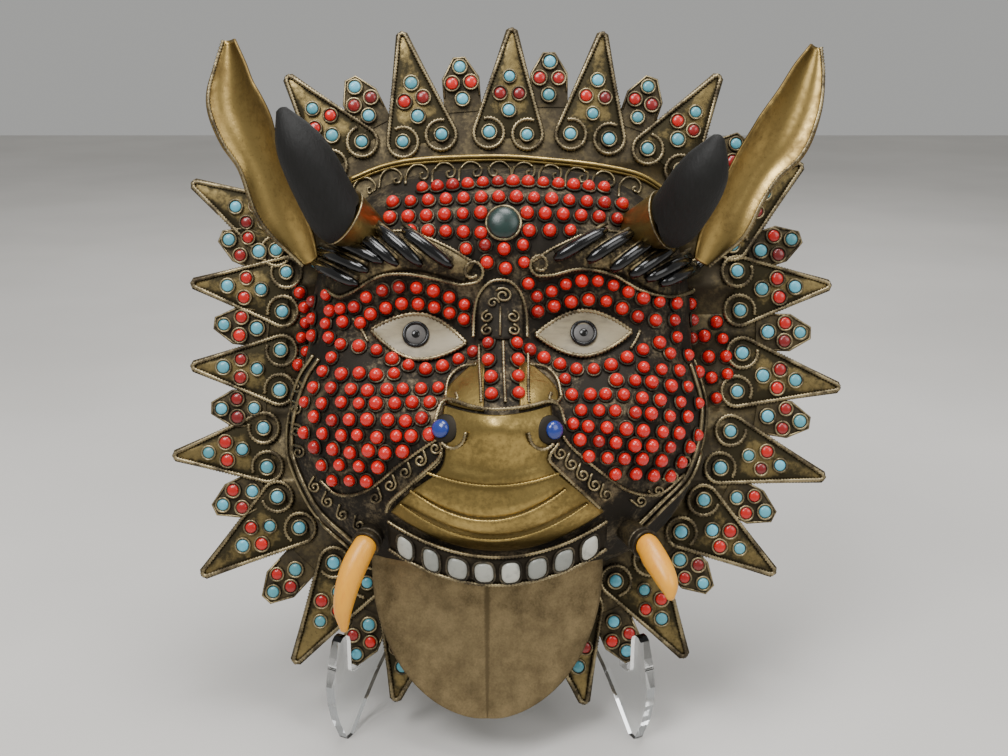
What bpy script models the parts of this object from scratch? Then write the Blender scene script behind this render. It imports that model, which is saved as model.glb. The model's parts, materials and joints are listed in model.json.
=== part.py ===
"""Tibetan cham mask of sheet brass, filigree wire and set stones, leaning in a clear acrylic easel.

The mask is drawn in its own frame: X to the right, Z up along the ray plate, -Y forward out of the face, with the
origin in the middle of the ray plate's front. The mask_frame empty leans that frame back into the easel.
Heights above the ray plate are measured forward. Sizes are in metres, written as millimetres times MM.
"""

import math

import bmesh
import bpy
from mathutils import Vector

MM = 0.001

# Fit and pose
CLEARANCE = 0.3 * MM
LEAN = math.radians(17)
WELD = 0.0005 * MM

# Ray plate: each long ray is its tip and the middle of its two loops, clockwise from the top (x, z)
LONG_RAYS = (
    ((3, 175.5), (1, 122)),
    ((48.5, 173.5), (42, 120.5)),
    ((107, 152), (79, 109)),
    ((148.5, 107.5), (107, 74)),
    ((163, 46.5), (116, 43.5)),
    ((167.5, -5), (116.5, 3)),
    ((160, -50), (109.5, -35.5)),
    ((135, -98), (93, -69)),
    ((90, -140), (63, -96)),
    ((39.5, -163.5), (31, -116)),
    ((-55.5, -162), (-46, -116)),
    ((-106, -143), (-77.5, -97)),
    ((-152.5, -99), (-108.5, -67)),
    ((-167, -39), (-120, -34.5)),
    ((-158, 6), (-112.5, 4)),
    ((-158, 47.5), (-110.5, 43)),
    ((-157.5, 98), (-110, 72)),
    ((-110, 151.5), (-79.5, 112)),
    ((-52.5, 173.5), (-42, 119.5)),
)
# Tip of the short ray that follows each long ray, or None where the tongue leaves no room for one
SHORT_RAY_TIPS = (
    (21.5, 163), (73, 150.5), (118, 121), (147.5, 70.5), (152.5, 22.5), (152, -22.5), (134, -69.5),
    (102, -106), (62.5, -141.5), None, (-77, -142.8), (-120, -111), (-146, -66), (-147.5, -15),
    (-146, 27.5), (-143, 71), (-126, 122), (-78, 150), (-23.5, 160.5),
)
PLATE_THICKNESS = 1.6 * MM
LOOP_RADIUS = 6.6 * MM
LOOP_SPREAD = 9.3 * MM
LOOP_OPENING = math.radians(60)
LOOP_STEPS = 5
BORDER_WIRE_RADIUS = 1.4 * MM
BORDER_LIFTS = (-0.05 * MM, -0.3 * MM, -0.55 * MM)
RAY_TIP_RADIUS = 1.6 * MM
RAY_MARGIN = 1.9 * MM
SHORT_RAY_HALF_WIDTH = 9.6 * MM
SHORT_RAY_TIP_HALF_WIDTH = 3.2 * MM
SHORT_RAY_SHOULDER = 10.5 * MM
HOLE_HALF_WIDTH = 50 * MM
HOLE_HALF_HEIGHT = 66 * MM
HOLE_CENTRE = (-2 * MM, 6 * MM)
HOLE_SIDES = 20

# Cups on the rays: a round one in each loop and a six-sided one under each cluster of four stones
LOOP_STONE_RADIUS = 4.1 * MM
BEZEL_HEIGHT = 2.4 * MM
BEZEL_SIDES = 5
CLUSTER_MIDDLE = 19.8 * MM
SHORT_CLUSTER_FROM_TIP = 13.6 * MM
CLUSTER_HALF_LENGTH = 11.4 * MM
CLUSTER_HALF_WIDTH = 7.8 * MM
CLUSTER_END_HALF_WIDTH = 2.6 * MM

# Crown ridge: the half-round moulding over the forehead, an arc on the plate
RIDGE_RADIUS = 1.9 * MM
RIDGE_HALF_SPAN = 76 * MM
RIDGE_TOP = 108.5 * MM
RIDGE_SAG = 14 * MM
RIDGE_CENTRE = 1.5 * MM
RIDGE_STEPS = 12

# Face shell: a superellipse footprint, and forms added to a flat dome (x, z, half-breadth, half-height, height)
FACE_CENTRE = (-3.4 * MM, 4 * MM)
FACE_SHEAR = 0.03
FACE_HALF_WIDTH = 103 * MM
FACE_HALF_HEIGHT = 100 * MM
FACE_SQUARENESS = 3
FACE_TEMPLE_TAPER = 0.08
FACE_TAPER_FROM = -20 * MM
FACE_TAPER_TO = 20 * MM
FACE_DOME = 44 * MM
FACE_WALL_POWER = 6
FACE_WALL = 2 * MM
FACE_SPOKES = 32
FACE_RINGS = 10
FACE_AXIS = -2 * MM
FACE_FORMS = {
    "forehead": (0, 76, 46, 15, 8),
    "brow_left": (-46, 54, 30, 9, 4),
    "brow_right": (44, 54, 30, 9, 4),
    "socket_left": (-41, 19, 21, 10, -7),
    "socket_right": (37, 21, 21, 10, -7),
    "cheek_left": (-61, -20, 22, 22, 14),
    "cheek_right": (58, -20, 22, 22, 14),
    "nose_ridge": (-2, 6, 8, 19, 12),
    "nose_wing_left": (-18, -7, 8, 8, 7),
    "nose_wing_right": (15, -7, 8, 8, 7),
    "nose_ball": (-2, -21, 19, 10, 14),
    "muzzle": (-4, -53, 33, 30, 27),
}

# Muzzle sheet: half-breadth of the snout from its top edge, over the neck, down to the lip's corners
MUZZLE_TOP = -12 * MM
MUZZLE_TOP_DIP = 4 * MM
MUZZLE_CORNER = -61 * MM
MUZZLE_LIP_DROP = 18 * MM
MUZZLE_AXIS = -4 * MM
MUZZLE_HALF_BREADTHS = (24, 24.5, 23, 26, 39, 48.5)
MUZZLE_STAND = 1.9 * MM
MUZZLE_CELLS = (8, 8)

# Lip band and teeth
BAND_AXIS = -4 * MM
BAND_END = 2.5 * MM
BAND_CENTRE = -88.3 * MM
BAND_RISE = 6.0
BAND_HALF_BREADTH = 6.4 * MM
BAND_FRONT = 55 * MM
BAND_WRAP = 3.6
BAND_SLOPE = 0.35
BAND_THICKNESS = 4 * MM
TOOTH_COUNT = 8
TOOTH_PITCH = 12 * MM
TOOTH_SIZE = (4.3 * MM, 2.2 * MM, 5.0 * MM)

# Eyes, brows, panel, nose wings and the set stones of the face
EYES = {"left": (-40.6, 19.2, 8), "right": (36.0, 20.8, -2)}
EYE_HALF_LENGTH = 22.4 * MM
EYE_HALF_HEIGHT = 10.6 * MM
EYE_STAND = 2.4 * MM
EYE_CROWN = 2.0 * MM
BROW_LOWER = ((17, 44), (30, 47), (44, 49.5), (58, 46.5), (72, 39.5), (82, 38))
BROW_UPPER = ((12.5, 52.5), (26, 60.5), (44, 67.5), (60, 66), (75, 60), (87, 51.5))
BROW_STAND = 2.0 * MM
BROW_CROWN = 2.6 * MM
BROW_CELLS = (8, 3)
FLUTE_COUNT = 6
FLUTE_RADIUS = 2.0 * MM
FLUTE_LIFT = 4.6 * MM
PANEL_CENTRE = (-2.6, 30.5)
PANEL_HALF_WIDTH = 10.6 * MM
PANEL_HALF_HEIGHT = 12.6 * MM
PANEL_STAND = 1.8 * MM
WING_INNER = 8.0
WING_WIDTH = 17.5
WING_TOP = 7.5
WING_GAP = 1.4
WING_STAND = 1.8 * MM
FOREHEAD_STONE = (-1, 71)
FOREHEAD_STONE_RADIUS = 7.4 * MM
NOSTRIL_STONES = {"left": (-28.3, -22.5), "right": (20.6, -23)}
NOSTRIL_STONE_RADIUS = 4.4 * MM
FOREHEAD_STONE_STAND = 4.2 * MM
NOSTRIL_STONE_STAND = 5.2 * MM

# Horns and their collars: a path of (x, z, height above the plate), and radii along it
HORN_PATHS = {
    "left": ((-61, 66, 36), (-75.3, 74.3, 46), (-83, 85, 52.5), (-89, 97, 58), (-95, 108.5, 62), (-100.5, 120, 64)),
    "right": ((58, 69, 36), (73.5, 73, 47), (80, 79, 57), (85, 86.5, 66), (89, 95.5, 73), (92.5, 105, 78)),
}
COLLAR_RADII = (8.5, 14)
HORN_RADII = (12.8, 13.2, 12.4, 9.4, 2.6)
HORN_STRAIGHT = 4.5 * MM

# Ears: stations up the leaf, each (x, z, height, half-breadth), and how deep the sheet is cupped
EAR_STATIONS = {
    "left": (
        (-93.5, 55, 25, 4), (-98, 64, 28, 7.5), (-103.5, 73, 30, 10.2), (-109, 83, 31, 11.3), (-116, 102, 32, 10.8),
        (-122, 116, 33, 13.4), (-128.5, 131, 33, 12.6), (-130, 145.5, 33, 8.2), (-131, 159.5, 33, 2.6),
    ),
    "right": (
        (93.5, 55, 25, 4), (98.5, 64, 28, 8), (104.5, 73.5, 30, 11), (112, 88, 31, 10.8), (119.5, 101, 32, 11.6),
        (129, 113, 33, 13.6), (137, 128, 33, 11.6), (142.5, 143.5, 33, 7.8), (146.5, 156.5, 33, 2.4),
    ),
}
EAR_CUP = 0.55
EAR_SHEET = 1.3 * MM
EAR_CELLS = (4, 12)

# Tusks and their sockets
TUSK_PATHS = {
    "left": ((-65.2, -77.5, 47), (-69.5, -86, 50), (-72.8, -96, 52), (-74.5, -106, 52.5), (-74, -115.5, 51.5)),
    "right": ((64.5, -77, 52), (67.5, -82, 57.5), (70.5, -87.5, 62), (72.5, -93, 65.5), (73, -98, 67.5)),
}
TUSK_RADII = (5.4, 5.9, 5.4, 4.2, 1.7)
SOCKET_PATHS = {
    "left": ((-60.5, -69, 34), (-65, -77, 46)),
    "right": ((53.5, -68.5, 32), (63.9, -76.2, 51)),
}
SOCKET_RADII = (5.4, 6.6)

# Tongue: a sheet cut to half an oval, from under the teeth down over the lowest rays
TONGUE_AXIS = -9 * MM
TONGUE_HALF_WIDTH = 55.5 * MM
TONGUE_ROOT = -84 * MM
TONGUE_WIDEST = -92 * MM
TONGUE_TIP = -163.5 * MM
TONGUE_HEIGHT = 33 * MM
TONGUE_TIP_HEIGHT = 25 * MM
TONGUE_SIDE_FALL = 11 * MM
TONGUE_FOLD = 1.4 * MM
TONGUE_SHEET = 1.5 * MM
TONGUE_CELLS = (8, 7)

# Easel: two clear profiles that meet in a V behind the mask; s runs forward along each profile
EASEL_CENTRE = -7.5 * MM
EASEL_THICKNESS = 5 * MM
EASEL_SPREAD = math.radians(28)
NOTCH_HEIGHT = 34 * MM
PLATE_S = 146 * MM
NOTCH_AHEAD = 5.5 * MM
NOTCH_FILLET = 3 * MM
LIP_WIDTH = 9 * MM
LIP_TOP = 57 * MM
LIP_FRONT = ((4.5, 52.5), (8, 43), (10, 33), (9.5, 23), (7, 13), (3, 4.5))
FOOT_AHEAD = 11 * MM
FOOT_LENGTH = 5 * MM
REAR_FOOT_LENGTH = 24 * MM
ARCH_HEIGHT = 42 * MM
EASEL_TOP = 176 * MM
EASEL_REAR_TOP = 96 * MM
ARC_STEPS = 5

MATERIALS = {
    "aged_brass": ((0.42, 0.30, 0.12), 0.38, 1.0),
    "dark_brass": ((0.10, 0.085, 0.06), 0.5, 0.8),
    "bright_brass": ((0.60, 0.44, 0.17), 0.32, 1.0),
    "horn_grey": ((0.05, 0.05, 0.05), 0.6, 0.0),
    "bone": ((0.62, 0.55, 0.38), 0.5, 0.0),
    "tooth_white": ((0.72, 0.72, 0.66), 0.45, 0.0),
    "tusk_yellow": ((0.80, 0.52, 0.14), 0.45, 0.0),
    "dark_green_stone": ((0.03, 0.08, 0.07), 0.3, 0.0),
    "blue_stone": ((0.05, 0.10, 0.50), 0.2, 0.0),
    "clear_acrylic": ((0.95, 0.97, 0.97), 0.05, 0.0),
}


def clear_scene():
    for obj in list(bpy.data.objects):
        bpy.data.objects.remove(obj, do_unlink=True)


def new_collection(name):
    found = bpy.data.collections.new(name)
    bpy.context.scene.collection.children.link(found)
    return found


def new_material(name):
    colour, roughness, metallic = MATERIALS[name]
    made = bpy.data.materials.new(name)
    made.use_nodes = True
    shader = made.node_tree.nodes["Principled BSDF"]
    shader.inputs["Base Color"].default_value = (*colour, 1)
    shader.inputs["Roughness"].default_value = roughness
    shader.inputs["Metallic"].default_value = metallic
    if name == "clear_acrylic":
        shader.inputs["Transmission Weight"].default_value = 1.0
        shader.inputs["IOR"].default_value = 1.49
    return made


clear_scene()
PIECES = new_collection("cham_mask")
CUTTERS = new_collection("cutters")
FINISHES = {name: new_material(name) for name in MATERIALS}
MASK_FRAME = bpy.data.objects.new("mask_frame", None)
PIECES.objects.link(MASK_FRAME)


def add_piece(name, mesh, finish=None, parent=MASK_FRAME, collection=PIECES):
    """A named object of the mask, or a cutter, standing in the mask's own frame."""
    mesh.name = name
    obj = bpy.data.objects.new(name, mesh)
    collection.objects.link(obj)
    obj.parent = parent
    if finish:
        mesh.materials.clear()
        mesh.materials.append(FINISHES[finish])
    if collection is CUTTERS:
        obj.hide_render = True
        obj.display_type = "WIRE"
    return obj


def turn_outwards(bm):
    bm.normal_update()
    bmesh.ops.recalc_face_normals(bm, faces=bm.faces)


def bake(obj):
    """The object with its modifiers or its curve made into a mesh of welded points."""
    bpy.context.view_layer.update()
    graph = bpy.context.evaluated_depsgraph_get()
    mesh = bpy.data.meshes.new_from_object(obj.evaluated_get(graph))
    bm = bmesh.new()
    bm.from_mesh(mesh)
    bmesh.ops.remove_doubles(bm, verts=bm.verts, dist=WELD)
    turn_outwards(bm)
    bm.to_mesh(mesh)
    bm.free()
    if obj.type == "MESH":
        obj.modifiers.clear()
        obj.data = mesh
        return obj
    name, matrix = obj.name, obj.matrix_world.copy()
    parent, collection = obj.parent, obj.users_collection[0]
    old_curve = obj.data
    bpy.data.objects.remove(obj)
    bpy.data.curves.remove(old_curve)
    made = add_piece(name, mesh, None, parent, collection)
    made.matrix_world = matrix
    return made


def join_or_cut(obj, tool, operation):
    """Applies one exact Boolean and returns the object."""
    modifier = obj.modifiers.new(operation.lower(), "BOOLEAN")
    modifier.operation = operation
    modifier.object = tool
    modifier.use_self = operation == "UNION"
    return bake(obj)


def smooth(obj, angle=40):
    obj.data.shade_smooth()
    obj.data.set_sharp_from_angle(angle=math.radians(angle))
    return obj


def temple_width(z):
    """Share of the full width that the face keeps at a height, narrower at the temples."""
    rise = min(1.0, max(0.0, (z - FACE_TAPER_FROM) / (FACE_TAPER_TO - FACE_TAPER_FROM)))
    return 1 - FACE_TEMPLE_TAPER * rise * rise * (3 - 2 * rise)


def face_middle(z):
    """Where the face's own middle line stands at a height: it leans a little to one side."""
    return FACE_CENTRE[0] + FACE_SHEAR * (z - FACE_CENTRE[1])


def superellipse_share(across, along):
    """0 in the middle of an upright superellipse of the face's half-sizes and 1 on its outline."""
    powers = (abs(across) / FACE_HALF_WIDTH) ** FACE_SQUARENESS + (abs(along) / FACE_HALF_HEIGHT) ** FACE_SQUARENESS
    return powers ** (1 / FACE_SQUARENESS)


def face_height(x, z):
    """Height of the face above the ray plate."""
    share = min(1.0, superellipse_share((x - face_middle(z)) / temple_width(z), z - FACE_CENTRE[1]))
    wall = math.sqrt(max(0.0, 1 - share**FACE_WALL_POWER))
    height = FACE_DOME
    for form_x, form_z, breadth, tall, rise in FACE_FORMS.values():
        off_x = (x - form_x * MM) / (breadth * MM)
        off_z = (z - form_z * MM) / (tall * MM)
        height += rise * MM * math.exp(-(off_x**2 + off_z**2) / 2)
    return height * wall


def on_face(x, z, above=0.0):
    """The point of the face at (x, z), lifted straight forward."""
    return Vector((x, -face_height(x, z) - above, z))


def half_globe(segments, rings):
    """The upper half of a unit globe, open at its equator."""
    bm = bmesh.new()
    bmesh.ops.create_uvsphere(bm, u_segments=segments, v_segments=rings, radius=1)
    lower = [vert for vert in bm.verts if vert.co.z < -0.001]
    bmesh.ops.delete(bm, geom=lower, context="VERTS")
    return bm


def face_mesh(lift):
    """The open face surface: half a globe whose rings and spokes are laid over the footprint."""
    bm = half_globe(FACE_SPOKES, 2 * FACE_RINGS)
    for vert in bm.verts:
        angle = math.atan2(vert.co.y, vert.co.x)
        share = math.sin(math.acos(min(1.0, vert.co.z)))
        reach = share / superellipse_share(math.cos(angle), math.sin(angle))
        z = FACE_CENTRE[1] + math.sin(angle) * reach
        x = face_middle(z) + math.cos(angle) * reach * temple_width(z)
        vert.co = on_face(x, z)
    bmesh.ops.triangulate(bm, faces=bm.faces)
    turn_outwards(bm)
    bm.normal_update()
    if sum(face.normal.y for face in bm.faces) > 0:
        bmesh.ops.reverse_faces(bm, faces=bm.faces)
        bm.normal_update()
    for vert in bm.verts:
        vert.co += vert.normal * lift
    return bm


def finish_mesh(bm, name):
    mesh = bpy.data.meshes.new(name)
    bm.to_mesh(mesh)
    bm.free()
    return mesh


def make_face_shell():
    """Hollow repousse face, open behind, whose rim rests on the ray plate."""
    shell = add_piece("face_shell", finish_mesh(face_mesh(0), "face_shell"), "dark_brass")
    wall = shell.modifiers.new("wall", "SOLIDIFY")
    wall.thickness = FACE_WALL
    wall.offset = -1
    wall.use_even_offset = True
    bake(shell)
    for vert in shell.data.vertices:
        vert.co.y = min(vert.co.y, -CLEARANCE)
    return smooth(shell)


def make_face_cutter():
    """Everything behind the face's surface, with the clearance that a piece set on it keeps."""
    bm = face_mesh(CLEARANCE)
    edge = [e for e in bm.edges if e.is_boundary]
    made = bmesh.ops.extrude_edge_only(bm, edges=edge)
    skirt = [item for item in made["geom"] if isinstance(item, bmesh.types.BMVert)]
    for vert in skirt:
        vert.co.y = 30 * MM
    bmesh.ops.contextual_create(bm, geom=[e for e in bm.edges if e.is_boundary])
    bmesh.ops.triangulate(bm, faces=[f for f in bm.faces if len(f.verts) > 4])
    turn_outwards(bm)
    return add_piece("face_cutter", finish_mesh(bm, "face_cutter"), collection=CUTTERS)


def sheet_mesh(cells, place):
    """A grid of cells whose points are put in place by a function of u and v, each from -1 to 1."""
    bm = bmesh.new()
    bmesh.ops.create_grid(bm, x_segments=cells[0], y_segments=cells[1], size=1)
    for vert in bm.verts:
        vert.co = place(vert.co.x, vert.co.y)
    bmesh.ops.remove_doubles(bm, verts=bm.verts, dist=0.05 * MM)
    turn_outwards(bm)
    bm.normal_update()
    if sum(face.normal.y * face.calc_area() for face in bm.faces) > 0:
        bmesh.ops.reverse_faces(bm, faces=bm.faces)
    return finish_mesh(bm, "sheet")


def make_sheet(name, finish, cells, place, thickness, cutter=None):
    """A sheet with a real thickness behind its surface, trimmed to the face that it sits on."""
    piece = add_piece(name, sheet_mesh(cells, place), finish)
    wall = piece.modifiers.new("wall", "SOLIDIFY")
    wall.thickness = thickness
    wall.offset = -1
    bake(piece)
    if cutter:
        join_or_cut(piece, cutter, "DIFFERENCE")
    return smooth(piece)


def make_tube(name, finish, points, radii, sides, collection=PIECES, parent=MASK_FRAME):
    """A round bar along points with a radius at each, with closed ends."""
    curve = bpy.data.curves.new(name, "CURVE")
    curve.dimensions = "3D"
    curve.bevel_depth = 1.0
    curve.bevel_resolution = (sides - 4) // 2
    curve.use_fill_caps = True
    spline = curve.splines.new("POLY")
    spline.points.add(len(points) - 1)
    for point, at, radius in zip(spline.points, points, radii):
        point.co = (*at, 1)
        point.radius = radius
    obj = bpy.data.objects.new(name, curve)
    collection.objects.link(obj)
    obj.parent = parent
    made = bake(obj)
    if finish:
        made.data.materials.clear()
        made.data.materials.append(FINISHES[finish])
    return made


def ray_frame(ray):
    """Origin, outward direction, sideways direction and length of a long ray in the plate's plane."""
    tip = Vector(ray[0]) * MM
    base = Vector(ray[1]) * MM
    along = (tip - base).normalized()
    across = Vector((along.y, -along.x))
    return base, along, across, (tip - base).length


def border_points(ray, loop_steps, tip_steps):
    """The border wire's line: round one loop, up to the tip, down again and round the other loop."""
    base, along, across, length = ray_frame(ray)
    tip_centre = length - RAY_TIP_RADIUS - BORDER_WIRE_RADIUS
    reach = math.hypot(tip_centre, LOOP_SPREAD)
    heading = math.atan2(LOOP_SPREAD, tip_centre)
    tangent = heading - math.acos((LOOP_RADIUS - RAY_TIP_RADIUS) / reach)
    half = []
    sweep = 2 * math.pi - LOOP_OPENING
    for step in range(loop_steps + 1):
        angle = tangent + LOOP_OPENING + sweep * step / loop_steps
        half.append((LOOP_RADIUS * math.cos(angle), -LOOP_SPREAD + LOOP_RADIUS * math.sin(angle)))
    for step in range(tip_steps):
        angle = tangent * (1 - step / tip_steps)
        half.append((tip_centre + RAY_TIP_RADIUS * math.cos(angle), RAY_TIP_RADIUS * math.sin(angle)))
    tip = [(tip_centre + RAY_TIP_RADIUS, 0)]
    other = [(u, -v) for u, v in reversed(half)]
    return [base + along * u + across * v for u, v in half + tip + other]


def crossing(point_a, way_a, point_b, way_b):
    """Where two lines in the plate's plane meet."""
    turn = way_a.x * way_b.y - way_a.y * way_b.x
    offset = point_b - point_a
    return point_a + way_a * ((offset.x * way_b.y - offset.y * way_b.x) / turn)


def ray_side(ray, side):
    """Outer corner of a long ray's tip on one side, and the direction of that edge towards the base."""
    base, along, across, length = ray_frame(ray)
    tip_half = RAY_TIP_RADIUS + BORDER_WIRE_RADIUS
    base_half = LOOP_SPREAD + LOOP_RADIUS + RAY_MARGIN
    corner = base + along * (length - tip_half / 2) + across * side * tip_half
    foot = base + across * side * base_half
    return corner, (foot - corner).normalized()


def short_ray_frame(index):
    """Tip of the short ray after a long ray, its outward direction and its sideways direction."""
    tip = Vector(SHORT_RAY_TIPS[index]) * MM
    after = (index + 1) % len(LONG_RAYS)
    root = (Vector(LONG_RAYS[index][1]) + Vector(LONG_RAYS[after][1])) * MM / 2
    along = (tip - root).normalized()
    return tip, along, Vector((along.y, -along.x))


def plate_outline():
    """The plate's cut edge, clockwise: each long ray's tip, then the short ray between it and the next."""
    points = []
    for index, ray in enumerate(LONG_RAYS):
        left, _ = ray_side(ray, -1)
        right, right_way = ray_side(ray, 1)
        following = LONG_RAYS[(index + 1) % len(LONG_RAYS)]
        next_left, next_way = ray_side(following, -1)
        points += [left, Vector(ray[0]) * MM, right]
        if SHORT_RAY_TIPS[index] is None:
            points.append(crossing(right, right_way, next_left, next_way))
            continue
        tip, along, across = short_ray_frame(index)
        for side, edge, way in ((-1, right, right_way), (1, next_left, next_way)):
            shoulder = tip - along * SHORT_RAY_SHOULDER + across * side * SHORT_RAY_HALF_WIDTH
            end = tip + across * side * SHORT_RAY_TIP_HALF_WIDTH
            valley = crossing(shoulder, along, edge, way)
            ordered = [valley, shoulder, end]
            points += ordered if side < 0 else reversed(ordered)
    return points


def hole_outline():
    turns = [2 * math.pi * k / HOLE_SIDES for k in range(HOLE_SIDES)]
    return [
        Vector((
            HOLE_CENTRE[0] + HOLE_HALF_WIDTH * math.cos(turn),
            HOLE_CENTRE[1] + HOLE_HALF_HEIGHT * math.sin(turn),
        ))
        for turn in turns
    ]


def flat_piece(name, outlines, thickness, collection=PIECES, parent=MASK_FRAME):
    """A flat sheet cut to closed outlines in its own XY plane, with its thickness below that plane."""
    curve = bpy.data.curves.new(name, "CURVE")
    curve.dimensions = "2D"
    curve.fill_mode = "BOTH"
    curve.extrude = thickness / 2
    for outline in outlines:
        spline = curve.splines.new("POLY")
        spline.points.add(len(outline) - 1)
        for point, at in zip(spline.points, outline):
            point.co = (at.x, at.y, 0, 1)
        spline.use_cyclic_u = True
    obj = bpy.data.objects.new(name, curve)
    collection.objects.link(obj)
    obj.parent = parent
    return bake(obj)


def cluster_outline(centre, along, across):
    """Six-sided outline round four stones, set along its ray."""
    corners = (
        (1, CLUSTER_END_HALF_WIDTH), (0, CLUSTER_HALF_WIDTH), (-1, CLUSTER_END_HALF_WIDTH),
        (-1, -CLUSTER_END_HALF_WIDTH), (0, -CLUSTER_HALF_WIDTH), (1, -CLUSTER_END_HALF_WIDTH),
    )
    return [centre + along * end * CLUSTER_HALF_LENGTH + across * off for end, off in corners]


def cup_outlines():
    """Outline of every cup on the rays, in the plate's plane."""
    found = []
    for index, ray in enumerate(LONG_RAYS):
        base, along, across, _ = ray_frame(ray)
        for side in (-1, 1):
            centre = base + across * side * LOOP_SPREAD
            turns = [2 * math.pi * k / BEZEL_SIDES for k in range(BEZEL_SIDES)]
            found.append([
                centre + (along * math.cos(turn) + across * math.sin(turn)) * LOOP_STONE_RADIUS for turn in turns
            ])
        found.append(cluster_outline(base + along * CLUSTER_MIDDLE, along, across))
        if SHORT_RAY_TIPS[index] is not None:
            tip, along, across = short_ray_frame(index)
            found.append(cluster_outline(tip - along * SHORT_CLUSTER_FROM_TIP, along, across))
    return found


def cup_mesh():
    """All the stones' cups on the rays, standing through the plate's front."""
    bm = bmesh.new()
    sunk = -PLATE_THICKNESS / 2
    for outline in cup_outlines():
        base = bmesh.ops.contextual_create(
            bm, geom=[bmesh.ops.create_vert(bm, co=(at.x, at.y, sunk))["vert"][0] for at in outline]
        )["faces"]
        grown = bmesh.ops.extrude_face_region(bm, geom=base, use_keep_orig=True)
        top = [item for item in grown["geom"] if isinstance(item, bmesh.types.BMVert)]
        bmesh.ops.translate(bm, verts=top, vec=(0, 0, BEZEL_HEIGHT - sunk))
    turn_outwards(bm)
    return finish_mesh(bm, "cups")


def make_ray_plate():
    """Sheet crown of long and short rays, with border wires, stone cups and the crown ridge fused on."""
    plate = flat_piece("ray_plate", [plate_outline(), hole_outline()], PLATE_THICKNESS)
    for vert in plate.data.vertices:
        vert.co.z -= PLATE_THICKNESS / 2
    wires = []
    for index, ray in enumerate(LONG_RAYS):
        lift = BORDER_LIFTS[2 if index == len(LONG_RAYS) - 1 else index % 2]
        points = [(p.x, p.y, lift) for p in border_points(ray, LOOP_STEPS, 1)]
        radii = [BORDER_WIRE_RADIUS] * len(points)
        wires.append(make_tube(f"border_{index}", None, points, radii, 4, CUTTERS, None))
    arc = []
    for step in range(RIDGE_STEPS + 1):
        share = 2 * step / RIDGE_STEPS - 1
        arc.append((RIDGE_CENTRE + share * RIDGE_HALF_SPAN, RIDGE_TOP - RIDGE_SAG * share**2, 0.2 * MM))
    wires.append(make_tube("ridge", None, arc, [RIDGE_RADIUS] * len(arc), 6, CUTTERS, None))
    cups = add_piece("cups", cup_mesh(), parent=None, collection=CUTTERS)
    for tool in [*wires, cups]:
        join_or_cut(plate, tool, "UNION")
        bpy.data.objects.remove(tool)
    plate.rotation_euler = (math.pi / 2, 0, 0)
    plate.data.materials.append(FINISHES["aged_brass"])
    return smooth(plate)


def along_curve(points, share):
    """A point of a smooth curve through points, at a share of its count of spans (Catmull-Rom)."""
    spans = len(points) - 1
    at = min(max(share, 0.0), 1.0) * spans
    index = min(int(at), spans - 1)
    t = at - index
    ends = [points[max(index - 1, 0)], points[index], points[index + 1], points[min(index + 2, spans)]]
    weights = (
        -0.5 * t**3 + t**2 - 0.5 * t,
        1.5 * t**3 - 2.5 * t**2 + 1,
        -1.5 * t**3 + 2 * t**2 + 0.5 * t,
        0.5 * t**3 - 0.5 * t**2,
    )
    return [sum(w * end[k] for w, end in zip(weights, ends)) for k in range(len(points[0]))]


def muzzle_top(x):
    """Height up the face of the muzzle's upper edge."""
    off = min(1.0, abs(x - MUZZLE_AXIS) / (MUZZLE_HALF_BREADTHS[0] * MM))
    return MUZZLE_TOP - MUZZLE_TOP_DIP * (1 - off * off)


def make_muzzle(cutter):
    """Sheet snout from the nose's tip to the upper lip."""
    breadths = [(b,) for b in MUZZLE_HALF_BREADTHS]

    def place(u, v):
        down = (1 - v) / 2
        half = along_curve(breadths, down)[0] * MM
        x = MUZZLE_AXIS + u * half
        top = muzzle_top(MUZZLE_AXIS + u * MUZZLE_HALF_BREADTHS[0] * MM)
        foot = MUZZLE_CORNER - MUZZLE_LIP_DROP * (1 - u * u)
        return on_face(x, top + (foot - top) * down, MUZZLE_STAND)

    return make_sheet("muzzle", "bright_brass", MUZZLE_CELLS, place, 2 * MUZZLE_STAND, cutter)


def band_edge(index):
    """Where facet number index of the lip band starts, measured from the band's middle."""
    half = TOOTH_COUNT * TOOTH_PITCH / 2
    if index == 0:
        return -half - BAND_END
    return min((index - 1) * TOOTH_PITCH - half, half + BAND_END * (index - TOOTH_COUNT - 1))


def band_point(x, v):
    """A point of the lip band: x along it, v from its lower to its upper edge."""
    z = BAND_CENTRE + BAND_RISE * x * x / (1000 * MM) + v * BAND_HALF_BREADTH
    height = BAND_FRONT - BAND_WRAP * x * x / (1000 * MM) + BAND_SLOPE * v * BAND_HALF_BREADTH
    return Vector((BAND_AXIS + x, -height, z))


def make_lip_band(cutter):
    """Faceted bar under the lip, with one flat facet for each tooth and one beyond each end tooth."""
    facets = TOOTH_COUNT + 2

    def place(u, v):
        return band_point(band_edge(round((u + 1) / 2 * facets)), v)

    return make_sheet("lip_band", "dark_brass", (facets, 1), place, BAND_THICKNESS, cutter)


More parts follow.
